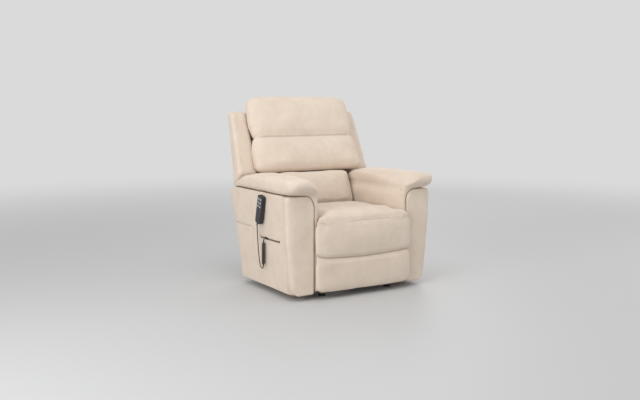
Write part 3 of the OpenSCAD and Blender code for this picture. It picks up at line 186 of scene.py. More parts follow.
# Points of the route: the distance out from the arm's side, then y and z
lead_route = [
    (0.021, -0.069, 0.384), (0.022, -0.066, 0.372), (0.022, -0.062, 0.348),
    (0.022, -0.060, 0.310), (0.022, -0.061, 0.270), (0.023, -0.062, 0.230),
    (0.022, -0.064, 0.190), (0.021, -0.067, 0.158), (0.020, -0.073, 0.140),
    (0.018, -0.083, 0.131), (0.016, -0.091, 0.135), (0.015, -0.095, 0.143),
    (0.015, -0.096, 0.149)]
tail_route = [
    (0.014, -0.112, 0.282), (0.014, -0.1125, 0.286), (0.013, -0.113, 0.291),
    (0.010, -0.113, 0.296), (0.005, -0.113, 0.298), (0.001, -0.113, 0.299),
    (-0.002, -0.113, 0.299), (-0.005, -0.113, 0.299)]


def arm_side_x(z):
    """Half width over the arms' sides at a height."""
    return arm_half_low + arm_flare * (z - skirt_z)


def smooth_route(route, steps):
    """The smooth line through the listed points, as the frame's source draws it."""
    p = [Vector((-arm_side_x(z) - out, y, z)) for out, y, z in route]
    line = []
    for i in range(len(p) - 1):
        a, b, c, d = p[max(0, i - 1)], p[i], p[i + 1], p[min(len(p) - 1, i + 2)]
        for t in (j / steps for j in range(steps)):
            line.append(0.5 * ((2 * b) + (c - a) * t + (2 * a - 5 * b + 4 * c - d) * t * t
                               + (3 * b - a - 3 * c + d) * t * t * t))
    return line + [p[-1]]


def curl_line(start, end):
    """The helix of the curly stretch, drawn in to the middle line at both of its ends."""
    along = (end - start).normalized()
    side = along.cross(Vector((0, 1, 0))).normalized()
    out = along.cross(side)
    run = (end - start).length - 2 * wire_d
    line = [start.copy()]
    for k in range(curls * curl_steps + 1):
        t = k / (curls * curl_steps)
        turn = 2 * math.pi * k / curl_steps
        r = (curl_d - wire_d) / 2 * min(1, t * curls, (1 - t) * curls)
        line.append(start + along * (wire_d + run * t)
                    + r * (side * math.cos(turn) + out * math.sin(turn)))
    return line + [end.copy()]


def linked(name, data):
    """A new object in the scene that shows a mesh or a curve."""
    piece = bpy.data.objects.new(name, data)
    bpy.context.scene.collection.objects.link(piece)
    return piece


def select_only(piece):
    bpy.ops.object.select_all(action="DESELECT")
    piece.select_set(True)
    bpy.context.view_layer.objects.active = piece


def tube(name, line, width, sides=3):
    """A round cord along a line of points, as a curve of one spline."""
    data = bpy.data.curves.new(name, "CURVE")
    data.dimensions = "3D"
    data.bevel_depth = width / 2
    data.bevel_resolution = sides
    data.use_fill_caps = True
    spline = data.splines.new("POLY")
    spline.points.add(len(line) - 1)
    spline.points.foreach_set("co", [x for p in line for x in (*p, 1)])
    return linked(name, data)


def started(name, specular):
    """A new material with its node tree, its shader and the piece's own place."""
    made = bpy.data.materials.new(name)
    made.use_nodes = True
    surface = made.node_tree.nodes["Principled BSDF"]
    surface.inputs["Specular IOR Level"].default_value = specular
    place = made.node_tree.nodes.new("ShaderNodeTexCoord").outputs["Object"]
    return made, made.node_tree, surface, place


def noise_into(tree, place, scale, detail=2.0, roughness=0.5, stretch=None):
    """A noise pattern on the piece's own place, drawn out along an axis if stretch says so."""
    made = tree.nodes.new("ShaderNodeTexNoise")
    made.inputs["Scale"].default_value = scale
    made.inputs["Detail"].default_value = detail
    made.inputs["Roughness"].default_value = roughness
    if stretch:
        mapping = tree.nodes.new("ShaderNodeMapping")
        mapping.inputs["Scale"].default_value = stretch
        tree.links.new(place, mapping.inputs["Vector"])
        place = mapping.outputs["Vector"]
    tree.links.new(place, made.inputs["Vector"])
    return made.outputs["Fac"]


def ranged(tree, value, span, wanted):
    """A value brought from one (low, high) span to another."""
    made = tree.nodes.new("ShaderNodeMapRange")
    for name, number in zip(("From Min", "From Max", "To Min", "To Max"), (*span, *wanted)):
        made.inputs[name].default_value = number
    tree.links.new(value, made.inputs["Value"])
    return made.outputs["Result"]


jacket, jacket_tree, jacket_skin, jacket_place = started("Satin cord jacket", 0.45)
jacket_skin.inputs["Base Color"].default_value = (*jacket_tone, 1)
jacket_haze = noise_into(jacket_tree, jacket_place, jacket_grain)
jacket_tree.links.new(ranged(jacket_tree, jacket_haze, (0, 1), jacket_rough),
                      jacket_skin.inputs["Roughness"])

lead_line = smooth_route(lead_route, smooth_steps)
tail_line = smooth_route(tail_route, smooth_steps)
curl_path = curl_line(lead_line[-1], tail_line[0])
for name, node, line, width, lay, end in (
        ("lead_from_handset", "cord_lead", lead_line, lead_d, "hanging", "connector"),
        ("lead_curls", "cord_curls", curl_path, wire_d, "coiled", "connector"),
        ("lead_into_pocket", "cord_tail", tail_line, lead_d, "hanging", "object")):
    cord = tube(name, line, width)
    cord.data.materials.append(jacket)
    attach(cord, "chassis")
    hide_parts(node)

# Moulded ends of the curls
# Short turned-down sleeves moulded over the joints between the straight lead and the curls,
# and the tapered, ribbed relief that carries the lead out of the handset's lower end.
sleeve_r = 0.0038
sleeve_l = 0.011
sleeve_end_r = 0.0027
sleeve_turn = 0.0012
relief_l = 0.021
relief_root_r = 0.0056
relief_end_r = 0.0031
relief_ribs = 5
rib_start = 0.003
rib_pitch = 0.0036
rib_taper = 0.0004
groove = [(0, 0.0054), (0.0004, 0.0046), (0.0014, 0.0046), (0.0018, 0.0053)]


def turned(name, place, away, profile, steps=24):
    """A round piece spun from (along, radius) pairs, standing at place and pointing away."""
    data = bpy.data.meshes.new(name)
    edges = [(i, i + 1) for i in range(len(profile) - 1)]
    data.from_pydata([(r, 0, z) for z, r in profile], edges, [])
    piece = linked(name, data)
    select_only(piece)
    bpy.ops.object.mode_set(mode="EDIT")
    bpy.ops.mesh.select_all(action="SELECT")
    bpy.ops.mesh.spin(steps=steps, angle=2 * math.pi, center=(0, 0, 0), axis=(0, 0, 1))
    bpy.ops.mesh.select_all(action="SELECT")
    bpy.ops.mesh.remove_doubles(threshold=0.00002)
    bpy.ops.mesh.normals_make_consistent(inside=False)
    bpy.ops.object.mode_set(mode="OBJECT")
    bpy.ops.object.shade_smooth_by_angle(angle=math.radians(40))
    turn = Vector(away).to_track_quat("Z", "Y").to_matrix().to_4x4()
    piece.data.transform(Matrix.Translation(place) @ turn)
    return piece


half_sleeve = sleeve_l / 2
sleeve_profile = [(-half_sleeve, 0), (-half_sleeve, sleeve_end_r), (-half_sleeve + sleeve_turn, sleeve_r),
                  (half_sleeve - sleeve_turn, sleeve_r), (half_sleeve, sleeve_end_r), (half_sleeve, 0)]
sleeves = [
    turned("lead_lower_sleeve", lead_line[-1], lead_line[-1] - lead_line[-3], sleeve_profile),
    turned("lead_upper_sleeve", tail_line[0], tail_line[2] - tail_line[0], sleeve_profile)]
relief_profile = [(0, 0), (0, relief_root_r)]
for rib in range(relief_ribs):
    at = rib_start + rib * rib_pitch
    relief_profile += [(at + along, r - rib_taper * rib) for along, r in groove]
relief_profile += [(relief_l, relief_end_r), (relief_l, 0)]
relief = turned("lead_strain_relief", lead_line[0], lead_line[4] - lead_line[0], relief_profile)
for piece in (*sleeves, relief):
    piece.data.materials.append(jacket)
    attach(piece, "chassis")

# Seat cushion
# A thick foam block in brushed cloth that crowns in the middle, pulls in round its rim and
# rolls over the front edge. The cover is sewn as a bag, so the cloth ripples a little between
# its corners.
cloth_light = (0.755, 0.645, 0.54)
cloth_deep = (0.64, 0.535, 0.44)
# How dark the painted shade in the seams is, as a share of the cloth's deep tone
seam_shade = 0.62
sheen_tint = (1, 0.95, 0.9, 1)
# Where most of a noise pattern's values lie
noise_span = (0.3, 0.7)
# Voxels of the stuffed forms, how far a form is eased at a time, and how the stuffing starts
stuffed_voxel = 0.0072
ease_step = 0.011
stuffing_shrink = 0.003
stuffing_pressure = 4.0
stuffing_frames = 20


def combined(tree, kind, *values):
    """Values added or multiplied together, one after another."""
    total = values[0]
    for value in values[1:]:
        step = tree.nodes.new("ShaderNodeMath")
        step.operation = kind
        tree.links.new(total, step.inputs[0])
        tree.links.new(value, step.inputs[1])
        total = step.outputs[0]
    return total


def mixed(tree, factor, low, high):
    """A colour between low and high by factor; each is a colour or another node's output."""
    made = tree.nodes.new("ShaderNodeMix")
    made.data_type = "RGBA"
    tree.links.new(factor, made.inputs["Factor"])
    for name, colour in (("A", low), ("B", high)):
        if isinstance(colour, tuple):
            made.inputs[name].default_value = (*colour, 1)
        else:
            tree.links.new(colour, made.inputs[name])
    return made.outputs["Result"]


def bumped(tree, surface, heights):
    """Gives a surface raised detail from (pattern, strength, depth) rows, coarse ones first."""
    before = None
    for height, strength, depth in heights:
        bump = tree.nodes.new("ShaderNodeBump")
        bump.inputs["Strength"].default_value = strength
        bump.inputs["Distance"].default_value = depth
        tree.links.new(height, bump.inputs["Height"])
        if before:
            tree.links.new(before, bump.inputs["Normal"])
        before = bump.outputs["Normal"]
    tree.links.new(before, surface.inputs["Normal"])


def brushed_cloth(name, light, deep):
    """Short-napped cloth: broad cloudy marks, brushed streaks, and a fine nap that catches light.
    The piece's seam attribute mixes painted shade into the cloth where it is drawn into a seam."""
    cloth, tree, surface, place = started(name, 0.18)
    clouds = noise_into(tree, place, 9, 3, 0.55)
    smears = noise_into(tree, place, 30, 5, 0.62, (1, 1, 0.8))
    nap = noise_into(tree, place, 620, 2, 0.7)
    threads = noise_into(tree, place, 1500, 1, 0.5)
    tone = combined(tree, "ADD", *(ranged(tree, pattern, noise_span, (0, share)) for pattern, share in (
        (clouds, 0.46), (smears, 0.36), (nap, 0.18))))
    # Painted shade: the seam attribute darkens the cloth in the crease, where shadow falls
    painted_seam_shade = tree.nodes.new("ShaderNodeAttribute")
    painted_seam_shade.attribute_name = "seam"
    plain = mixed(tree, tone, deep, light)
    shaded = mixed(tree, painted_seam_shade.outputs["Fac"], plain, tuple(c * seam_shade for c in deep))
    tree.links.new(shaded, surface.inputs["Base Color"])
    tree.links.new(ranged(tree, smears, noise_span, (0.92, 0.8)), surface.inputs["Roughness"])
    surface.inputs["Sheen Weight"].default_value = 0.22
    surface.inputs["Sheen Roughness"].default_value = 0.45
    surface.inputs["Sheen Tint"].default_value = sheen_tint
    bumped(tree, surface, [(noise_into(tree, place, 24, 3, 0.5), 0.2, 0.004),
                           (nap, 0.16, 0.0008), (threads, 0.1, 0.0004)])
    return cloth


upholstery = brushed_cloth("Brushed upholstery cloth", cloth_light, cloth_deep)


def finish(piece, kind, **settings):
    """Adds a modifier with these settings and applies it."""
    bpy.context.view_layer.objects.active = piece
    made = piece.modifiers.new(kind.title(), kind)
    for name, value in settings.items():
        setattr(made, name, value)
    bpy.ops.object.modifier_apply(modifier=made.name)


def points_of(piece):
    flat = np.empty(len(piece.data.vertices) * 3)
    piece.data.vertices.foreach_get("co", flat)
    return flat.reshape(-1, 3)


def set_points(piece, points):
    piece.data.vertices.foreach_set("co", points.astype(np.float32).ravel())
    piece.data.update()


def normals_of(piece):
    flat = np.empty(len(piece.data.vertices) * 3)
    piece.data.vertices.foreach_get("normal", flat)
    return flat.reshape(-1, 3)


def copy_of(name, nodes, wanted=None):
    """One merged copy of frame solids, without the corners for which wanted(points) is false."""
    bpy.ops.object.select_all(action="DESELECT")
    for node in nodes:
        piece = frame["nodes"][node].copy()
        piece.data = piece.data.copy()
        piece.parent = None
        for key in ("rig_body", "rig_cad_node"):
            del piece[key]
        bpy.context.scene.collection.objects.link(piece)
        piece.hide_render = piece.hide_viewport = False
        piece.select_set(True)
    bpy.context.view_layer.objects.active = piece
    if len(nodes) > 1:
        bpy.ops.object.join()
    piece.name = name
    piece.data.name = name
    piece.data.materials.clear()
    bpy.ops.object.mode_set(mode="EDIT")
    bpy.ops.mesh.select_all(action="SELECT")
    bpy.ops.mesh.remove_doubles(threshold=0.00005)
    bpy.ops.mesh.normals_make_consistent(inside=False)
    bpy.ops.mesh.select_all(action="DESELECT")
    bpy.ops.object.mode_set(mode="OBJECT")
    if wanted:
        piece.data.vertices.foreach_set("select", ~wanted(points_of(piece)))
        bpy.ops.object.mode_set(mode="EDIT")
        bpy.ops.mesh.delete(type="VERT")
        bpy.ops.object.mode_set(mode="OBJECT")
    return piece


def eased(piece, voxel, reach):
    """Bridges a skin's hollows narrower than twice reach, as wadding under a cover does, or with
    a reach below zero rounds its edges off to that radius. The skin is remade at each step."""
    steps = max(1, round(abs(reach) / ease_step))
    for way in (1, -1):
        for _ in range(steps):
            set_points(piece, points_of(piece) + normals_of(piece) * (way * reach / steps))
            finish(piece, "REMESH", mode="VOXEL", voxel_size=voxel)
            finish(piece, "SMOOTH", factor=0.5, iterations=2)


def smooth_faced(piece):
    select_only(piece)
    bpy.ops.object.shade_smooth()


def skin_of(name, nodes, voxel, rounds=0, close=0.0, rounding=0.0, wanted=None):
    """One even closed skin over frame solids, eased and then smoothed in rounds."""
    piece = copy_of(name, nodes, wanted)
    finish(piece, "REMESH", mode="VOXEL", voxel_size=voxel)
    if close:
        eased(piece, voxel, close)
    if rounding:
        eased(piece, voxel, -rounding)
    if rounds:
        finish(piece, "SMOOTH", factor=0.5, iterations=rounds)
    smooth_faced(piece)
    return piece


def solid_tree(nodes):
    """A search tree over frame solids."""
    corners, faces = [], []
    for node in nodes:
        mesh = frame["nodes"][node].data
        faces += [[v + len(corners) for v in f.vertices] for f in mesh.polygons]
        corners += [v.co.copy() for v in mesh.vertices]
    return BVHTree.FromPolygons(corners, faces)


def keep_within(piece, nodes, stand, sink=0.008):
    """Draws back what stands more than stand(place) proud of the frame solids, and lifts what
    lies more than sink below them."""
    tree = solid_tree(nodes)
    points = points_of(piece)
    for i, p in enumerate(points):
        near, normal, _, _ = tree.find_nearest(Vector(p))
        proud = (Vector(p) - near).dot(normal)
        allowed = stand(near)
        if proud > allowed:
            points[i] = near + normal * allowed
        elif proud < -sink and (Vector(p) - near).length < 3 * sink:
            points[i] = near - normal * sink
    set_points(piece, points)


def fill_out(piece, cap):
    """Blows a slightly smaller skin out like a stuffed cover, by a short cloth simulation, and
    lets the cover settle no further than cap from the form it was cut to."""
    form = points_of(piece)
    set_points(piece, form - normals_of(piece) * stuffing_shrink)
    bpy.context.scene.frame_set(1)
    bpy.context.view_layer.objects.active = piece
    cloth = piece.modifiers.new("Stuffing", "CLOTH")
    cloth.settings.quality = 3
    cloth.settings.mass = 0.25
    cloth.settings.tension_stiffness = cloth.settings.compression_stiffness = 18
    cloth.settings.bending_stiffness = 0.8
    cloth.settings.use_pressure = True
    cloth.settings.uniform_pressure_force = stuffing_pressure
    cloth.settings.effector_weights.gravity = 0
    cloth.collision_settings.use_collision = False
    cloth.point_cache.frame_end = stuffing_frames
    for step in range(1, stuffing_frames + 1):
        bpy.context.scene.frame_set(step)
    bpy.ops.object.modifier_apply(modifier=cloth.name)
    bpy.context.scene.frame_set(1)
    moved = points_of(piece) - form
    far = np.maximum(np.linalg.norm(moved, axis=1), 1e-9)
    set_points(piece, form + moved * np.minimum(1, cap / far)[:, None])


def rippled(piece, depth, size):
    """Gives stretched cloth its faint unevenness, a fraction of what a hand would feel."""
    points, normals = points_of(piece), normals_of(piece)
    swell = np.array([noise.noise(Vector(p) / size) for p in points])
    set_points(piece, points + normals * (depth * swell)[:, None])


def surface_tree(piece):
    return BVHTree.FromPolygons([v.co for v in piece.data.vertices],
                                [f.vertices for f in piece.data.polygons])


def laid_on(piece, line, step=0.003):
    """Points at an even step along a line of corners, laid on a piece's surface, with the
    surface's direction there. A corner is (x, y, z), and a fourth number fades the seam out."""
    line = np.array([(*c, 1.0)[:4] for c in line])
    rows = []
    for a, b in zip(line, line[1:]):
        count = max(1, round(math.dist(a[:3], b[:3]) / step))
        rows += [a + (b - a) * i / count for i in range(count)]
    rows.append(line[-1])
    tree = surface_tree(piece)
    found = [tree.find_nearest(Vector(r[:3])) for r in rows]
    return [(near, normal, r[3]) for (near, normal, _, _), r in zip(found, rows)]


def sewn(piece, line, depth, width, shade=0.8, shade_width=0.004):
    """Draws the cover in along a seam, and paints shade onto the cloth deep in it."""
    spots = laid_on(piece, line)
    tree = KDTree(len(spots))
    for i, spot in enumerate(spots):
        tree.insert(spot[0], i)
    tree.balance()
    points, normals = points_of(piece), normals_of(piece)
    layer = piece.data.attributes.get("seam") or piece.data.attributes.new("seam", "FLOAT", "POINT")
    painted_shade = np.zeros(len(points))
    layer.data.foreach_get("value", painted_shade)
    for i, p in enumerate(points):
        _, k, far = tree.find(Vector(p))
        if far < width:
            points[i] -= normals[i] * (depth * spots[k][2] * (1 - (far / width) ** 2) ** 2)
        # Painted shade along the seam, strongest on its line and fading to each side
        if far < 3 * shade_width:
            painted_shade[i] = max(painted_shade[i], shade * spots[k][2] * math.exp(-(far / shade_width) ** 2))
    layer.data.foreach_set("value", painted_shade)
    set_points(piece, points)


thread_tone = (0.60, 0.49, 0.385)
thread_twist = 600
stitch_pitch = 0.0075
stitch_l = 0.0050
stitch_w = 0.0013
stitch_stand = 0.0002
thread, thread_tree, thread_skin, thread_place = started("Twisted thread", 0.3)
thread_skin.inputs["Roughness"].default_value = 0.6
thread_wave = thread_tree.nodes.new("ShaderNodeTexWave")
thread_wave.bands_direction = "DIAGONAL"
thread_wave.inputs["Scale"].default_value = thread_twist
thread_tree.links.new(thread_place, thread_wave.inputs["Vector"])
thread_tree.links.new(mixed(thread_tree, thread_wave.outputs["Fac"], cloth_deep, thread_tone),
                      thread_skin.inputs["Base Color"])
bpy.ops.object.select_all(action="DESELECT")
bpy.ops.mesh.primitive_uv_sphere_add(segments=6, ring_count=4, radius=0.5)
stitch = bpy.context.object
stitch_corners = points_of(stitch)[:, (2, 0, 1)] * (stitch_l, stitch_w, stitch_w * 0.7)
stitch_faces = [list(f.vertices) for f in stitch.data.polygons]
bpy.data.objects.remove(stitch)


def stitched(name, piece, line, body):
    """A row of top stitches on a piece's surface, each a short raised float of thread."""
    spots = laid_on(piece, line, stitch_pitch)
    corners, faces = [], []
    for (before, _, _), (near, up, _), (after, _, _) in zip(spots, spots[1:], spots[2:]):
        along = (after - before).normalized()
        side = up.cross(along).normalized()
        turn = np.array((along, side, along.cross(side)))
        faces += [[v + len(corners) * len(stitch_corners) for v in f] for f in stitch_faces]
        corners.append(stitch_corners @ turn + np.array(near + up * stitch_stand))
    data = bpy.data.meshes.new(name)
    data.from_pydata(np.concatenate(corners).tolist(), [], faces)
    row = linked(name, data)
    smooth_faced(row)
    row.data.materials.append(thread)
    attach(row, body)


def upholstered(piece, body, nodes, cloth=None):
    """Dresses a finished piece in its cloth and fixes it to its body."""
    piece.data.materials.append(cloth or upholstery)
    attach(piece, body)
    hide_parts(*nodes)


def refined(piece):
    """One subdivision, which brings a seam's edges and a crown's curve out."""
    finish(piece, "SUBSURF", levels=1, render_levels=1)
    smooth_faced(piece)


def smooth_step(value, low, high):
    t = np.clip((value - low) / (high - low), 0, 1)
    return t * t * (3 - 2 * t)


# The seat's front roll and the footrest's pads read as one rounded front when the chair is shut.
# So they are stuffed as one form, which is then parted at the level where the footrest swings out.
front_nodes = ["seat_cushion", "foot_upper_pad", "foot_lower_pad"]
part_z = 0.4050
part_gap = 0.0002
front_y = -0.392
shoulder_r = 0.062
front_half = 0.302
crest_z = 0.460
crown_z = 0.440
pads_low_z = 0.05
core_low_z = 0.387
core_high_z = 0.4061
core_front_y = -0.38
foot_seam_z = 0.210
foot_seam_rise = [(-0.305, 0.022), (-0.265, 0.013), (-0.227, 0.008), (-0.133, 0.003), (0, 0),
                  (0.133, 0.003), (0.227, 0.008), (0.282, 0.011), (0.305, 0.013)]


def front_shoulders(points):
    """Brings the front's ends out to one flush side with round shoulders at the top."""
    ahead = smooth_step(-points[:, 1], -front_y, -front_y + 0.012)
    rise = np.clip((points[:, 2] - crest_z + shoulder_r) / shoulder_r, 0, 0.995)
    wanted_half = front_half - shoulder_r * (1 - np.sqrt(1 - rise * rise))
    level = 0.006
    levels = np.arange(pads_low_z, crest_z - 0.004, level)
    widest = [np.abs(points[(ahead > 0) & (np.abs(points[:, 2] - z) < level), 0]).max(initial=0.2)
              for z in levels]
    half = np.interp(points[:, 2], levels, widest)
    points[:, 0] *= 1 + ahead * np.maximum(wanted_half / half - 1, 0) * (points[:, 2] > pads_low_z)
    return points


def clear_behind(points):
    """Keeps the form's rear flat behind the pads and its underside flat over the seat's frame."""
    under = points[:, 2] < part_z - 0.001
    points[under, 1] = np.minimum(points[under, 1], front_y - 0.002)
    over = ~under & (points[:, 1] > front_y)
    points[over, 2] = np.maximum(points[over, 2], part_z + 0.0012)
    return points


def beside_core(points):
    """Leaves out the seat's thin foam core, which isn't stuffed."""
    core = ((points[:, 2] > core_low_z) & (points[:, 2] < core_high_z)
            & (points[:, 1] > core_front_y))
    return ~core


def front_room(p):
    """How far the stuffed front may stand proud of the frame's solids."""
    stand, seam_stand, seam_reach = 0.003, 0.024, 0.03
    if p.y > core_front_y:
        return stand if p.z > crown_z else 0.0
    return seam_stand if min(abs(p.z - part_z), abs(p.z - foot_seam_z)) < seam_reach else stand


def parted(form, name, upper):
    """The half of a form above or below the parting level, closed with a flat face."""
    half = form.copy()
    half.data = form.data.copy()
    half.name = half.data.name = name
    bpy.context.scene.collection.objects.link(half)
    select_only(half)
    bpy.ops.object.mode_set(mode="EDIT")
    bpy.ops.mesh.select_all(action="SELECT")
    level = part_z + (part_gap if upper else -part_gap)
    bpy.ops.mesh.bisect(plane_co=(0, 0, level), plane_no=(0, 0, 1), use_fill=True,
                        clear_inner=upper, clear_outer=not upper)
    bpy.ops.object.mode_set(mode="OBJECT")
    flat = np.abs(points_of(half)[:, 2] - part_z) < 1.5 * part_gap
    rim = half.data.attributes.new("crease_edge", "FLOAT", "EDGE")
    rim.data.foreach_set("value", [float(flat[list(e.vertices)].all()) for e in half.data.edges])
    return half


form = skin_of("front_form", front_nodes, stuffed_voxel, rounds=2, close=0.016, wanted=beside_core)
set_points(form, clear_behind(points_of(form)))
fill_out(form, cap=0.004)
keep_within(form, front_nodes, front_room, sink=0.006)
set_points(form, clear_behind(front_shoulders(points_of(form))))
rippled(form, depth=0.003, size=0.085)
finish(form, "SMOOTH", factor=0.5, iterations=4)
seat = parted(form, "seat_cushion_cover", True)
footrest_cover = parted(form, "footrest_cover", False)
bpy.data.objects.remove(form)
refined(seat)
upholstered(seat, "chassis", ["seat_cushion"])
core = copy_of("seat_foam_core", ["seat_cushion"], lambda points: points[:, 2] < core_high_z)
finish(core, "BEVEL", width=0.004, segments=2)
core.data.materials.append(upholstery)
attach(core, "chassis")
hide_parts("seat_cushion")

# Back cushions
# Fibre-filled bolsters in the same cloth: a lumbar roll between the arms, and above it one
# wide body that a sewn channel parts into the shoulders and the head.
back_lean = math.radians(22.3)
back_foot = (0.023, 0.445)
channel_up = 0.423
lumbar_lift = 0.007
gusset_x = (0.285, 0.335)
gusset_reach = 0.07
back_rounding = 0.018
back_stand = 0.003
channel_stand = 0.03


def on_back(x, deep, up):
    """A place on the back: across it, behind its front, and up along it."""
    return (x, back_foot[0] + deep * math.cos(back_lean) + up * math.sin(back_lean),
            back_foot[1] - deep * math.sin(back_lean) + up * math.cos(back_lean))


def up_back(place):
    return ((place[1] - back_foot[0]) * math.sin(back_lean)
            + (place[2] - back_foot[1]) * math.cos(back_lean))


lumbar = skin_of("lumbar_bolster", ["lumbar_cushion"], stuffed_voxel, rounds=2)
fill_out(lumbar, cap=0.005)
keep_within(lumbar, ["lumbar_cushion"], lambda p: 0.002, sink=0.007)
# The lumbar roll is pushed up under the bolster above it
points = points_of(lumbar)
lift = lumbar_lift * smooth_step(np.array([up_back(p) for p in points]), 0.15, 0.21)
points += lift[:, None] * (0, math.sin(back_lean), math.cos(back_lean))
set_points(lumbar, points)
rippled(lumbar, depth=0.003, size=0.09)
refined(lumbar)
upholstered(lumbar, "back", ["lumbar_cushion"])

bolsters = ["middle_cushion", "head_cushion"]
upper = skin_of("shoulder_and_head_bolsters", bolsters, stuffed_voxel, rounds=2,
                rounding=back_rounding)
# The side gusset runs on past the channel's ends, where a coarser form without it is followed
gusset = skin_of("gusset_form", bolsters, 0.009, rounds=2, close=0.036, rounding=back_rounding)
gusset_tree = surface_tree(gusset)
points = points_of(upper)
for i, p in enumerate(points):
    follow = float(smooth_step(abs(p[0]), *gusset_x))
    if follow and abs(up_back(p) - channel_up) < gusset_reach:
        points[i] += follow * (np.array(gusset_tree.find_nearest(Vector(p))[0]) - p)
set_points(upper, points)
bpy.data.objects.remove(gusset)
fill_out(upper, cap=0.004)


def upper_room(p):
    """How far the upper body may stand proud: further over the channel's open ends."""
    beside = abs(p.x) >= 0.28 and abs(up_back(p) - channel_up) <= 0.06
    return channel_stand if beside else back_stand


keep_within(upper, bolsters, upper_room, sink=0.03)
rippled(upper, depth=0.0035, size=0.1)
finish(upper, "SMOOTH", factor=0.5, iterations=2)
refined(upper)
channel = [(*on_back(x, 0.03, channel_up), fade) for x, fade in (
    (-0.33, 0), (-0.3, 0.5), (-0.28, 1), (0, 1), (0.28, 1), (0.3, 0.5), (0.33, 0))]
# The channel gets a shallow groove and a line of painted shade
sewn(upper, channel, depth=0.001, width=0.006, shade=0.75, shade_width=0.005)
upholstered(upper, "back", bolsters)

# Back shell
# Plywood sides and rear in the same cloth over thin wadding. The wings stand behind the
# bolsters as rounded upright pads, and the rear panel closes the shell inside a stitched border.
rear_deep = 0.17
rear_high = 0.57
rear_stitch_x = 0.27
wings = skin_of("back_wing_covers", ["back_wings"], 0.006, rounds=4, rounding=0.016)
rippled(wings, depth=0.0015, size=0.1)
upholstered(wings, "back", ["back_wings"])
rear = skin_of("rear_panel_cover", ["rear_panel"], 0.0055, rounds=3)
upholstered(rear, "back", ["rear_panel"])
for k, x in enumerate((-rear_stitch_x, rear_stitch_x)):
    stitched(f"rear_panel_stitches_{k + 1}", rear,
             [on_back(x, rear_deep, 0), on_back(x, rear_deep, rear_high)], "back")

# Arms
# Each arm is a boxed frame under thin wadding: an outer side panel, a front panel with a
# rounded outer edge, and an inner panel that runs up and over the top in one stuffed piece.
step_seam_z = 0.342
front_joint_y = -0.322
pocket_span = (-0.264, -0.043)
pocket_hem_rows = (0.324, 0.309)
pocket_mouth_top = 0.3045
# The mouth's two spans on either side of the lead, rear end first
mouth_spans = ((-0.043, -0.1025), (-0.1235, -0.264))
hem_sag = 0.0055
hem_reach = 0.009
stitch_in = 0.007
hem_past = 0.012


def side_line(side, corners):
    """Places on an arm's outer face from (y, z) corners, with an optional fade."""
    return [(side * arm_side_x(c[1]), *c) for c in corners]


for side, word in ((1, "left"), (-1, "right")):
    node = "arm_side_" + word
    piece = skin_of(word + "_arm_side_cover", [node], 0.0042, rounds=2)
    step_seam = [(0.33, step_seam_z), (0.05, step_seam_z), (0.035, step_seam_z - 0.006),
                 (0.030, step_seam_z - 0.03, 0.6), (0.03, 0.28, 0)]
    # The step seam gets a groove and a line of painted shade
    sewn(piece, side_line(side, step_seam), depth=0.0028, width=0.012, shade=0.7, shade_width=0.003)
    if side < 0:
        # The pocket's hem sags a little into its mouth, clear of the lead's grommet
        points = points_of(piece)
        for behind, before in mouth_spans:
            middle, half = (behind + before) / 2, (behind - before) / 2
            here = 1 - smooth_step(np.abs(points[:, 1] - middle), half - 0.014, half)
            near_edge = np.clip(1 - np.abs(points[:, 2] - pocket_mouth_top) / hem_reach, 0, 1)
            over = (points[:, 2] > pocket_mouth_top - hem_reach / 2).astype(float)
            points[:, 2] -= hem_sag * here * near_edge * over
        set_points(piece, points)
    rippled(piece, depth=0.0015, size=0.14)
    upholstered(piece, "chassis", [node])
    stitch_z = step_seam_z - stitch_in
    stitched(word + "_step_seam_stitches", piece,
             side_line(side, [(0.30, stitch_z), (0.05, stitch_z)]), "chassis")
    stitched(word + "_front_joint_stitches", piece,
             side_line(side, [(front_joint_y, 0.06), (front_joint_y, 0.53)]), "chassis")
    if side < 0:
        for k, z in enumerate(pocket_hem_rows):
            hem = [(pocket_span[0] - hem_past, z), (pocket_span[1] + hem_past, z)]
            stitched(f"pocket_hem_stitches_{k + 1}", piece, side_line(side, hem), "chassis")

fronts = skin_of("arm_front_covers", ["arm_fronts"], 0.005, rounds=3, rounding=0.007)
rippled(fronts, depth=0.0015, size=0.09)
upholstered(fronts, "chassis", ["arm_fronts"])

# The wrap's inner top edge turns over in a wide quarter round, widest at the front.
fall_w = 0.100
fall_h = 0.105
fall_ease = 0.55
arm_run = (-0.44, 0.27)
station = 0.01
station_near = 0.009
station_far = 0.03


def waterfall(points):
    """Rounds the inner top edge of an arm's wrap off to a quarter of an ellipse."""
    stations = np.arange(*arm_run, station)
    sides, crests = [], []
    for y in stations:
        away = np.abs(points[:, 1] - y)
        row = points[away < station_near]
        row = row if len(row) else points[away < station_far]
        sides.append(np.abs(row[row[:, 2] > 0.5, 0]).min())
        crests.append(row[:, 2].max())
    inner = np.interp(points[:, 1], stations, sides)
    crest = np.interp(points[:, 1], stations, crests)
    ahead = fall_ease + (1 - fall_ease) * smooth_step(-points[:, 1], 0.02, 0.36)
    wide, high = fall_w * ahead, fall_h * ahead
    over = (inner + wide - np.abs(points[:, 0])) / wide
    up = (points[:, 2] - crest + high) / high
    reach = np.hypot(np.maximum(over, 0), np.maximum(up, 0))
    pull = np.where((over > 0) & (up > 0) & (reach > 1), 1 - 1 / np.maximum(reach, 1), 0)
    points[:, 0] += np.sign(points[:, 0]) * pull * over * wide
    points[:, 2] -= pull * up * high
    return points


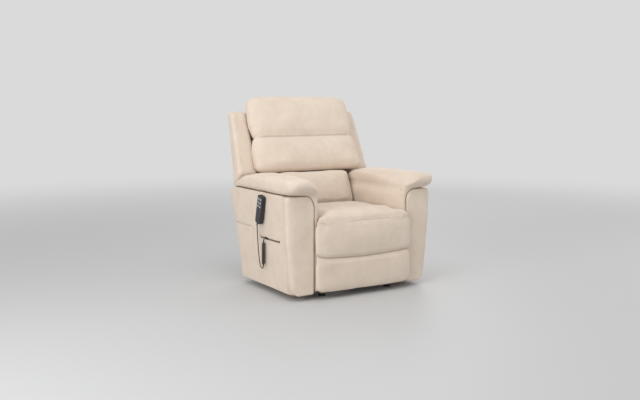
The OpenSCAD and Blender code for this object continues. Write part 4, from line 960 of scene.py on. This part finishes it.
for side, word in ((1, "left"), (-1, "right")):
    nodes = ["arm_pad_" + word, "arm_inner_panels"]
    piece = skin_of(word + "_arm_wrap", nodes, 0.0055, rounds=3, close=0.02,
                    wanted=lambda points, side=side: points[:, 0] * side > 0)
    keep_within(piece, nodes, lambda p: 0.02 if abs(p.x) < 0.32 and p.z > 0.49 else 0.002, sink=0.006)
    set_points(piece, waterfall(points_of(piece)))
    finish(piece, "SMOOTH", factor=0.5, iterations=14)
    rippled(piece, depth=0.003, size=0.085)
    finish(piece, "SMOOTH", factor=0.5, iterations=2)
    upholstered(piece, "chassis", nodes)

# Footrest pads
# The board that swings out carries a deep upper pad, which closes the seat's front, and a
# flatter lower pad. Their cover is sewn through along one seam that climbs towards the sides.
foot_face_y = -0.43
foot_stitch_in = 0.009
footrest_seam = [(x, foot_face_y, foot_seam_z + rise) for x, rise in foot_seam_rise]
sewn(footrest_cover, footrest_seam, depth=0.006, width=0.022, shade=0)
refined(footrest_cover)
# The second, narrow pass adds a line of painted shade along the footrest seam
sewn(footrest_cover, footrest_seam, depth=0.004, width=0.007, shade=0.85, shade_width=0.0035)
upholstered(footrest_cover, "footrest", ["foot_upper_pad", "foot_lower_pad"])
stitched("footrest_seam_stitches", footrest_cover,
         [(x * 0.98, foot_face_y, z - foot_stitch_in) for x, _, z in footrest_seam], "footrest")

# Side pocket
# A bag of thin lining cloth hangs inside the right arm behind the slot in its side panel.
lining_light = (0.70, 0.62, 0.53)
lining_deep = (0.58, 0.5, 0.41)
lining = brushed_cloth("Pocket lining cloth", lining_light, lining_deep)
pocket = skin_of("side_pocket_bag", ["side_pocket"], 0.0022, rounds=1)
upholstered(pocket, "chassis", ["side_pocket"], cloth=lining)

# Webbing
# Woven elastic straps, stretched across the seat's side plates and across the back's rails
# to carry the cushions.
strap_w = 0.050
strap_cloth_t = 0.0016
strap_tone = (0.30, 0.185, 0.11)
strap_dark = (0.12, 0.07, 0.045)
weave_pitch = 0.0022
seat_straps = 5
back_straps = 6
back_strap_deep = 0.0985
back_strap_first = 0.045
back_strap_pitch = 0.092


def woven(name, light, dark, pitch):
    """Coarse woven strap: threads run across and along it, and it is worn in patches."""
    cloth, tree, surface, place = started(name, 0.2)
    waves = []
    for direction in ("X", "Y"):
        wave = tree.nodes.new("ShaderNodeTexWave")
        wave.bands_direction = direction
        wave.inputs["Scale"].default_value = 0.5 / pitch
        tree.links.new(place, wave.inputs["Vector"])
        waves.append(wave.outputs["Fac"])
    weave = combined(tree, "MULTIPLY", *waves)
    worn = noise_into(tree, place, 60, 3, 0.6)
    tone = combined(tree, "ADD", ranged(tree, weave, (0, 1), (0, 0.6)),
                    ranged(tree, worn, noise_span, (0, 0.4)))
    tree.links.new(mixed(tree, tone, dark, light), surface.inputs["Base Color"])
    surface.inputs["Roughness"].default_value = 0.85
    bumped(tree, surface, [(weave, 0.5, 0.0008)])
    return cloth


strap_web = woven("Woven strap", strap_tone, strap_dark, weave_pitch)


def strap(name, low, high, across, node, body):
    """A flat strap drawn tight between two ends, across being the way that its width runs."""
    bpy.ops.object.select_all(action="DESELECT")
    bpy.ops.mesh.primitive_grid_add(x_subdivisions=24, y_subdivisions=4, size=1)
    piece = bpy.context.object
    piece.name = name
    grid = points_of(piece)
    low, high, across = Vector(low), Vector(high), Vector(across).normalized()
    set_points(piece, np.array([low.lerp(high, p[0] + 0.5) + across * (p[1] * strap_w) for p in grid]))
    finish(piece, "SOLIDIFY", thickness=strap_cloth_t, offset=0)
    select_only(piece)
    bpy.ops.object.shade_smooth_by_angle(angle=math.radians(40))
    piece.data.materials.append(strap_web)
    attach(piece, body)
    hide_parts(node)


seat_low, seat_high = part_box("seat_webbing")
for k in range(seat_straps):
    y = seat_low[1] + strap_w / 2 + k * (seat_high[1] - seat_low[1] - strap_w) / (seat_straps - 1)
    z = (seat_low[2] + seat_high[2]) / 2
    strap(f"seat_strap_{k + 1}", (seat_low[0], y, z), (seat_high[0], y, z), (0, 1, 0),
          "seat_webbing", "chassis")
back_rail_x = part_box("back_webbing")[1][0]
along_back = Vector(on_back(0, 0, 1)) - Vector(on_back(0, 0, 0))
for k in range(back_straps):
    up = back_strap_first + k * back_strap_pitch
    strap(f"back_strap_{k + 1}", on_back(-back_rail_x, back_strap_deep, up),
          on_back(back_rail_x, back_strap_deep, up), along_back, "back_webbing", "back")

# Timber frame
# Beech rails and birch plywood boards, sawn square and left raw, carry the cushions and arms.
beech_light = (0.74, 0.56, 0.37)
beech_deep = (0.53, 0.36, 0.21)


def sawn_timber(name, light, deep, along):
    """Raw timber whose grain runs along one axis, with darker growth lines and fine pores."""
    wood, tree, surface, place = started(name, 0.3)
    squeeze = tuple(0.06 if axis == along else 1 for axis in "XYZ")
    rings = noise_into(tree, place, 60, 3, 0.55, squeeze)
    pores = noise_into(tree, place, 700, 2, 0.6, squeeze)
    tone = combined(tree, "ADD", ranged(tree, rings, noise_span, (0, 0.75)),
                    ranged(tree, pores, (0.35, 0.65), (0, 0.25)))
    tree.links.new(mixed(tree, tone, deep, light), surface.inputs["Base Color"])
    tree.links.new(ranged(tree, pores, noise_span, (0.62, 0.75)), surface.inputs["Roughness"])
    bumped(tree, surface, [(rings, 0.15, 0.0008), (pores, 0.2, 0.0003)])
    return wood


def faced(nodes, material):
    """Gives carried-over frame solids their finish."""
    for node in nodes:
        mesh = frame["nodes"][node].data
        mesh.materials.clear()
        mesh.materials.append(material)


for nodes, name, along in (
        (["seat_side_rails", "arm_frames", "arm_mount_blocks"], "Timber, grain fore and aft", "Y"),
        (["seat_end_rails", "foot_board", "back_cross_rails"], "Timber, grain across", "X"),
        (["back_side_rails"], "Timber, grain upright", "Z")):
    faced(nodes, sawn_timber(name, beech_light, beech_deep, along))

# Steel base, lift linkage and carriage
# Laser-cut plates and bent tube, welded, and powder-coated in a fine-textured charcoal that
# shows a little dust and rubbed patches.
coat_tone = (0.058, 0.06, 0.064)
coat_worn = (0.11, 0.112, 0.116)


def powder_coat(name, tone, worn):
    coat, tree, surface, place = started(name, 0.5)
    rubs = noise_into(tree, place, 14, 5, 0.65)
    grain = noise_into(tree, place, 900, 2, 0.6)
    tree.links.new(mixed(tree, ranged(tree, rubs, (0.52, 0.75), (0, 1)), tone, worn),
                   surface.inputs["Base Color"])
    tree.links.new(combined(tree, "ADD", ranged(tree, grain, noise_span, (0.3, 0.42)),
                            ranged(tree, rubs, (0.4, 0.7), (0, 0.1))), surface.inputs["Roughness"])
    bumped(tree, surface, [(grain, 0.35, 0.0004)])
    return coat


charcoal = powder_coat("Charcoal powder coat", coat_tone, coat_worn)
faced(["base_side_rails", "base_cross_tubes", "base_lift_plates", "lift_front_links", "lift_rear_links",
       "lift_tie_tube", "side_plates", "chassis_cross_tubes", "foot_brackets", "back_brackets"], charcoal)

# Footrest linkage
# Punched flat bars and a torque tube in bright zinc plate, riveted at their crossings.
zinc_tone = (0.62, 0.63, 0.65)
zinc_dull = (0.44, 0.45, 0.47)
rod_tone = (0.74, 0.74, 0.75)
rod_dull = (0.62, 0.62, 0.64)


def bright_metal(name, tone, dull, scale, stretch, rough):
    metal, tree, surface, place = started(name, 0.5)
    surface.inputs["Metallic"].default_value = 1
    spangle = noise_into(tree, place, scale, 3, 0.5, stretch)
    scuffs = noise_into(tree, place, 35, 4, 0.6)
    tree.links.new(mixed(tree, ranged(tree, spangle, (0.35, 0.65), (0, 1)), dull, tone),
                   surface.inputs["Base Color"])
    tree.links.new(combined(tree, "ADD", ranged(tree, spangle, noise_span, (rough, rough + 0.1)),
                            ranged(tree, scuffs, (0.45, 0.7), (0, 0.12))), surface.inputs["Roughness"])
    bumped(tree, surface, [(spangle, 0.1, 0.0003)])
    return metal


faced(["foot_upper_links", "foot_lower_links", "foot_torque_tube", "foot_long_links", "foot_control_links"],
      bright_metal("Zinc plate", zinc_tone, zinc_dull, scale=220, stretch=None, rough=0.28))
faced(["lift_rod", "leg_rod", "back_rod"],
      bright_metal("Ground steel rod", rod_tone, rod_dull, scale=900, stretch=(0.05, 1, 1), rough=0.18))

# Drives, supply and fittings
# The actuators, supply and control box are closed in moulded plastic with a fine spark texture,
# and the glides and the lead's grommet are a smoother, tougher grade.
moulding_tone = (0.034, 0.035, 0.037)
moulding_dusty = (0.06, 0.06, 0.062)
fitting_tone = (0.03, 0.03, 0.031)
fitting_dusty = (0.05, 0.05, 0.052)


def moulded(name, tone, dusty, scale, depth, rough):
    plastic, tree, surface, place = started(name, 0.45)
    dust = noise_into(tree, place, 22, 4, 0.6)
    grain = noise_into(tree, place, scale, 2, 0.6)
    tree.links.new(mixed(tree, ranged(tree, dust, (0.45, 0.75), (0, 1)), tone, dusty),
                   surface.inputs["Base Color"])
    tree.links.new(ranged(tree, grain, noise_span, (rough, rough + 0.16)), surface.inputs["Roughness"])
    bumped(tree, surface, [(grain, 0.4, depth)])
    return plastic


faced(["lift_motor", "leg_motor", "back_motor", "power_supply", "control_box"],
      moulded("Spark-textured housing", moulding_tone, moulding_dusty, scale=1100, depth=0.0005,
              rough=0.42))
faced(["base_glides", "cord_grommet", "handset_hook"],
      moulded("Tough fitting plastic", fitting_tone, fitting_dusty, scale=1600, depth=0.0002, rough=0.32))

# Handset
# A slim moulded case with eased edges, held on its hook beside the sitter, with three rows of
# two soft grey buttons, each with a raised arrow.
case_edge = 0.0018
button_edge = 0.0007
case_lean = math.radians(14.6)
arrow_r = 0.0034
arrow_proud = 0.0005
case_tone = (0.022, 0.022, 0.024)
case_dusty = (0.036, 0.036, 0.038)
rubber_tone = (0.31, 0.32, 0.34)
rubber_dusty = (0.25, 0.26, 0.28)
mark_tone = (0.75, 0.76, 0.78)
mark_dusty = (0.68, 0.69, 0.70)


def eased_copy(name, node, width, segments):
    """A frame solid with its sharp edges rounded off."""
    piece = copy_of(name, [node])
    finish(piece, "DECIMATE", decimate_type="DISSOLVE", angle_limit=math.radians(2))
    finish(piece, "BEVEL", width=width, segments=segments, limit_method="ANGLE",
           angle_limit=math.radians(35), harden_normals=False)
    select_only(piece)
    bpy.ops.object.shade_smooth_by_angle(angle=math.radians(50))
    return piece


case = eased_copy("handset_case", "handset_body", case_edge, 3)
case.data.materials.append(
    moulded("Satin handset case", case_tone, case_dusty, scale=1300, depth=0.0002, rough=0.36))
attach(case, "chassis")
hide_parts("handset_body")
button_grey = moulded("Soft grey button rubber", rubber_tone, rubber_dusty, scale=900, depth=0.0002,
                      rough=0.6)
button_arrow = moulded("Pale button mark", mark_tone, mark_dusty, scale=900, depth=0.0001, rough=0.5)


def raised_arrow(action, node, up):
    """A small bevelled triangle on a button's face that points up or down along the case."""
    low, high = (Vector(corner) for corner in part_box(node))
    middle = (low + high) / 2
    bpy.ops.object.select_all(action="DESELECT")
    bpy.ops.mesh.primitive_cylinder_add(vertices=3, radius=arrow_r, depth=arrow_proud * 2)
    arrow = bpy.context.object
    bpy.ops.object.mode_set(mode="EDIT")
    bpy.ops.mesh.select_all(action="SELECT")
    bpy.ops.mesh.bevel(offset=arrow_proud / 2, segments=2)
    bpy.ops.object.mode_set(mode="OBJECT")
    lean_y, lean_z = -up * math.sin(case_lean), up * math.cos(case_lean)
    arrow.data.transform(Matrix(((0, 0, -1, low.x), (-lean_z, lean_y, 0, middle.y),
                                 (lean_y, lean_z, 0, middle.z), (0, 0, 0, 1))))
    arrow.name = arrow.data.name = "arrow_" + action
    arrow.data.materials.append(button_arrow)
    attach(arrow, node)


for action in ("raise", "lower", "back_down", "back_up", "legs_out", "legs_in"):
    node = "button_" + action
    cap = eased_copy("cap_" + action, node, button_edge, 2)
    cap.data.materials.append(button_grey)
    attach(cap, node)
    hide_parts(node)
    raised_arrow(action, node, -1 if action in ("lower", "back_down", "legs_in") else 1)
